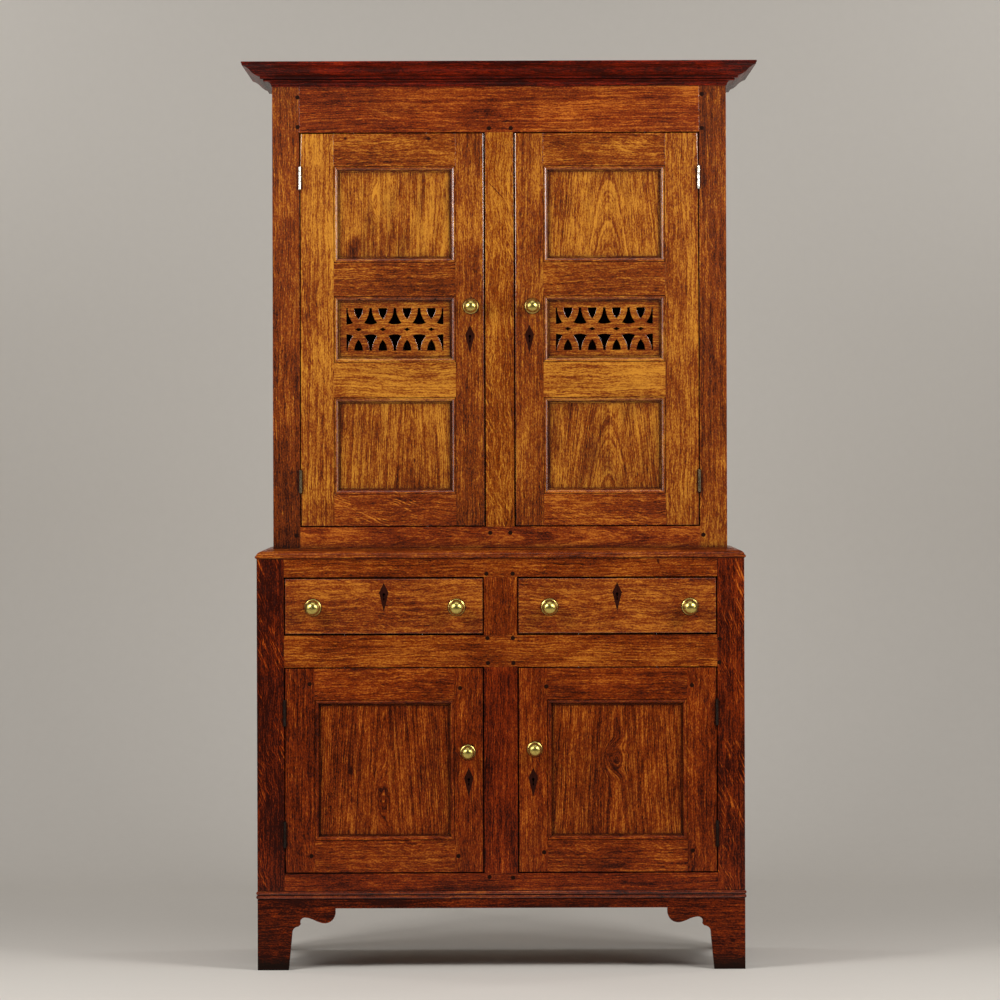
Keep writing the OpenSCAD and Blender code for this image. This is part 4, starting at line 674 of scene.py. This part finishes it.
def dress_all():
    chance = random.Random(SEED)
    for node in sorted(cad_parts):
        if node.endswith("knob") or node.endswith("knobs"):
            dress_fitting(node, (BRASS, IRON), lambda low, high: high.y - low.y < NUT_DEPTH)
        elif node.endswith("lock"):
            dress_fitting(node, (IRON, HORN), lambda low, high: high.y - low.y < INLAY_DEPTH)
        elif node.endswith("bolt"):
            dress_fitting(node, (IRON,), lambda low, high: 0)
        elif node.endswith("hinges") or node == "hinge_frame_leaves":
            # Iron below the waist, tarnished steel above it and bright steel at the top
            dress_fitting(node, (IRON, TARNISHED, STEEL),
                          lambda low, high: (low.z > WAIST) + (low.z > UPPER_MIDDLE))
        else:
            dress_boards(node, chance)
            if node.endswith("door_stiles") or node.endswith("door_rails"):
                round_outline(node)
            soften(node)


dress_all()


# Pegs, nails and keyhole pins

# Radius of each kind, and how far it stands proud of the wood
PEG = (0.0048, 0.0003)
NAIL = (0.0016, 0.0003)
PIN = (0.0012, 0.0004)

# How far nails lie behind the face of the rails, and pins behind the face of the inlay
NAIL_SUNK = 0.0015
PIN_SUNK = 0.001

# Places of the pegs across and up, for each body
PEGS = {
    "case": [
        (-0.462, 1.998), (-0.462, 1.930), (-0.023, 1.926), (0.027, 1.926), (0.465, 2.003),
        (0.465, 1.925), (-0.467, 0.993), (-0.023, 0.998), (0.023, 0.998), (0.466, 0.992),
        (-0.032, 0.905), (0.028, 0.905), (-0.030, 0.758), (0.028, 0.758), (-0.029, 0.701),
        (0.029, 0.701), (-0.027, 0.212), (0.027, 0.210), (0.501, 0.755), (0.500, 0.701),
    ],
    "lower_left_door": [(-0.437, 0.654), (-0.093, 0.644), (-0.434, 0.261), (-0.098, 0.260)],
    "lower_right_door": [(0.104, 0.647), (0.437, 0.649), (0.438, 0.271), (0.098, 0.268)],
}

# Places of the nails in the moulding of the upper left door, where it was mended
NAILS = [
    (-0.3263, 1.6203), (-0.2437, 1.6214), (-0.1497, 1.6214), (-0.3220, 1.5343),
    (-0.2348, 1.5366), (-0.1476, 1.5343), (-0.3247, 1.3944), (-0.2490, 1.3921),
    (-0.3348, 1.0916), (-0.2431, 1.0916), (-0.1605, 1.0893),
]


def peg_end():
    """Dark end grain of a peg."""
    s = Shader("peg end")
    place = s.node("ShaderNodeTexCoord").outputs["Object"]
    ends = s.noise(place, 900.0, 3.0)
    colour = s.mix(ends, rgb(14, 5, 2), rgb(42, 17, 7))
    return s.finish(colour, s.fit(ends, 0.3, 0.7, 0.5, 0.65), ends, bump=0.3, depth=0.0004,
                    Specular_IOR_Level=0.05)


def disc(name, body, x, z, face, kind, material):
    """A short rod let into the front, standing a little proud of it."""
    radius, proud = kind
    count = 16
    depth = 0.003
    ring = [(math.cos(2 * math.pi * i / count), math.sin(2 * math.pi * i / count))
            for i in range(count)]
    levels = [(1.0, depth), (1.0, -0.6 * proud), (0.8, -proud)]
    places = [(x + radius * k * c, face + y, z + radius * k * t)
              for k, y in levels for c, t in ring]
    faces = []
    for level in range(len(levels) - 1):
        for i in range(count):
            a = level * count + i
            b = level * count + (i + 1) % count
            faces.append((a, b, b + count, a + count))
    faces.append([2 * count + i for i in range(count)])
    faces.append([count - 1 - i for i in range(count)])
    mesh = bpy.data.meshes.new(name)
    mesh.from_pydata(places, [], faces)
    mesh.materials.append(material)
    obj = bpy.data.objects.new(name, mesh)
    bpy.context.scene.collection.objects.link(obj)
    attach(obj, body)


def fasten():
    material = peg_end()
    for body, spots in PEGS.items():
        for number, (x, z) in enumerate(spots):
            face = UPPER_FACE if z > WAIST else LOWER_FACE
            disc(f"peg_{body}_{number}", body, x, z, face, PEG, material)
    for number, (x, z) in enumerate(NAILS):
        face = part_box("upper_left_door_rails")[0].y + NAIL_SUNK
        disc(f"nail_{number}", "upper_left_door", x, z, face, NAIL, material)
    for side in ("left", "right"):
        for level in ("upper", "lower"):
            keyhole_pin(f"{level}_{side}_door")
        keyhole_pin(f"{side}_drawer")


def keyhole_pin(body):
    """The pin on which the key turns, seen in the round part of the keyhole."""
    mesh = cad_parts[f"{body}_lock"].data
    plates = [extent(mesh, faces) for faces in islands(mesh)]
    least, most = min(plates, key=lambda pair: pair[0].y)
    x = (least.x + most.x) / 2
    z = (least.z + most.z) / 2
    disc(f"pin_{body}", body, x, z, least.y + PIN_SUNK, PIN, IRON)


fasten()


# Stage, lights and camera

def backdrop():
    """Matt paper, seen from its front only."""
    s = Shader("backdrop")
    place = s.node("ShaderNodeTexCoord").outputs["Object"]
    paper = s.noise(place, 40.0, 3.0)
    shade = s.mix(s.times(paper, 0.06), rgb(214, 208, 199), rgb(150, 140, 128))
    s.finish(shade, 0.9, paper, bump=0.02, depth=0.001)
    front = s.tree.nodes["Principled BSDF"].outputs[0]
    clear = s.node("ShaderNodeBsdfTransparent").outputs[0]
    behind = s.node("ShaderNodeNewGeometry").outputs["Backfacing"]
    both = s.node("ShaderNodeMixShader", {0: behind, 1: front, 2: clear}).outputs[0]
    out = s.tree.nodes["Material Output"]
    s.tree.links.new(both, out.inputs["Surface"])
    return s.material


def sweep():
    """Floor that rises in a curve into the wall, and is clear when seen from behind."""
    half_width = 7.0
    wall = 3.0
    top = 5.0
    curve = 1.0
    steps = 14
    line = [(-half_width, 0.0)]
    for i in range(steps + 1):
        angle = math.radians(90 * i / steps)
        line.append((wall - curve + curve * math.sin(angle), curve - curve * math.cos(angle)))
    line.append((wall, top))
    places = [(x, y, z) for x in (-half_width, half_width) for y, z in line]
    count = len(line)
    faces = [(count + i, count + i + 1, i + 1, i) for i in range(count - 1)]
    mesh = bpy.data.meshes.new("sweep")
    mesh.from_pydata(places, [], faces)
    for face in mesh.polygons:
        face.use_smooth = True
    mesh.materials.append(backdrop())
    obj = bpy.data.objects.new("sweep", mesh)
    bpy.context.scene.collection.objects.link(obj)


def lamp(name, place, target, width, height, power):
    """A soft white lamp that shines from a place to a target."""
    data = bpy.data.lights.new(name, "AREA")
    data.shape = "RECTANGLE"
    data.size = width
    data.size_y = height
    data.energy = power
    obj = bpy.data.objects.new(name, data)
    obj.location = place
    obj.rotation_euler = (Vector(target) - Vector(place)).to_track_quat("-Z", "Y").to_euler()
    obj.visible_camera = False
    bpy.context.scene.collection.objects.link(obj)


def camera():
    data = bpy.data.cameras.new("camera")
    data.lens = LENS
    data.sensor_width = SENSOR
    data.shift_y = SHIFT
    obj = bpy.data.objects.new("camera", data)
    obj.location = (0, LOWER_FACE - EYE_DISTANCE, EYE_HEIGHT)
    obj.rotation_euler = (math.radians(90), ROLL, 0)
    bpy.context.scene.collection.objects.link(obj)
    bpy.context.scene.camera = obj


sweep()

# Each lamp has its place, its target, its width and height in metres, and its watts
for side in (-1, 1):
    lamp("near light", (1.6 * side, -1.8, 2.1), (0, 0, 1.1), 0.7, 0.8, 34)
    lamp("side softbox", (2.8 * side, -1.5, 1.7), (0, 0, 1.2), 0.9, 1.6, 22)
    lamp("wall light", (2.8 * side, 1.2, 3.0), (0.6 * side, 3.0, 1.2), 1.0, 1.0, 22)
lamp("top light", (0, -1.3, 3.9), (0, -0.2, 0), 2.2, 1.0, 14)

# A faint cool fill from all sides
world = bpy.data.worlds.new("studio")
world.use_nodes = True
background = world.node_tree.nodes["Background"].inputs
background["Color"].default_value = (0.9, 0.92, 1.0, 1)
background["Strength"].default_value = 0.05
bpy.context.scene.world = world

bpy.context.scene.view_settings.view_transform = "Standard"
camera()
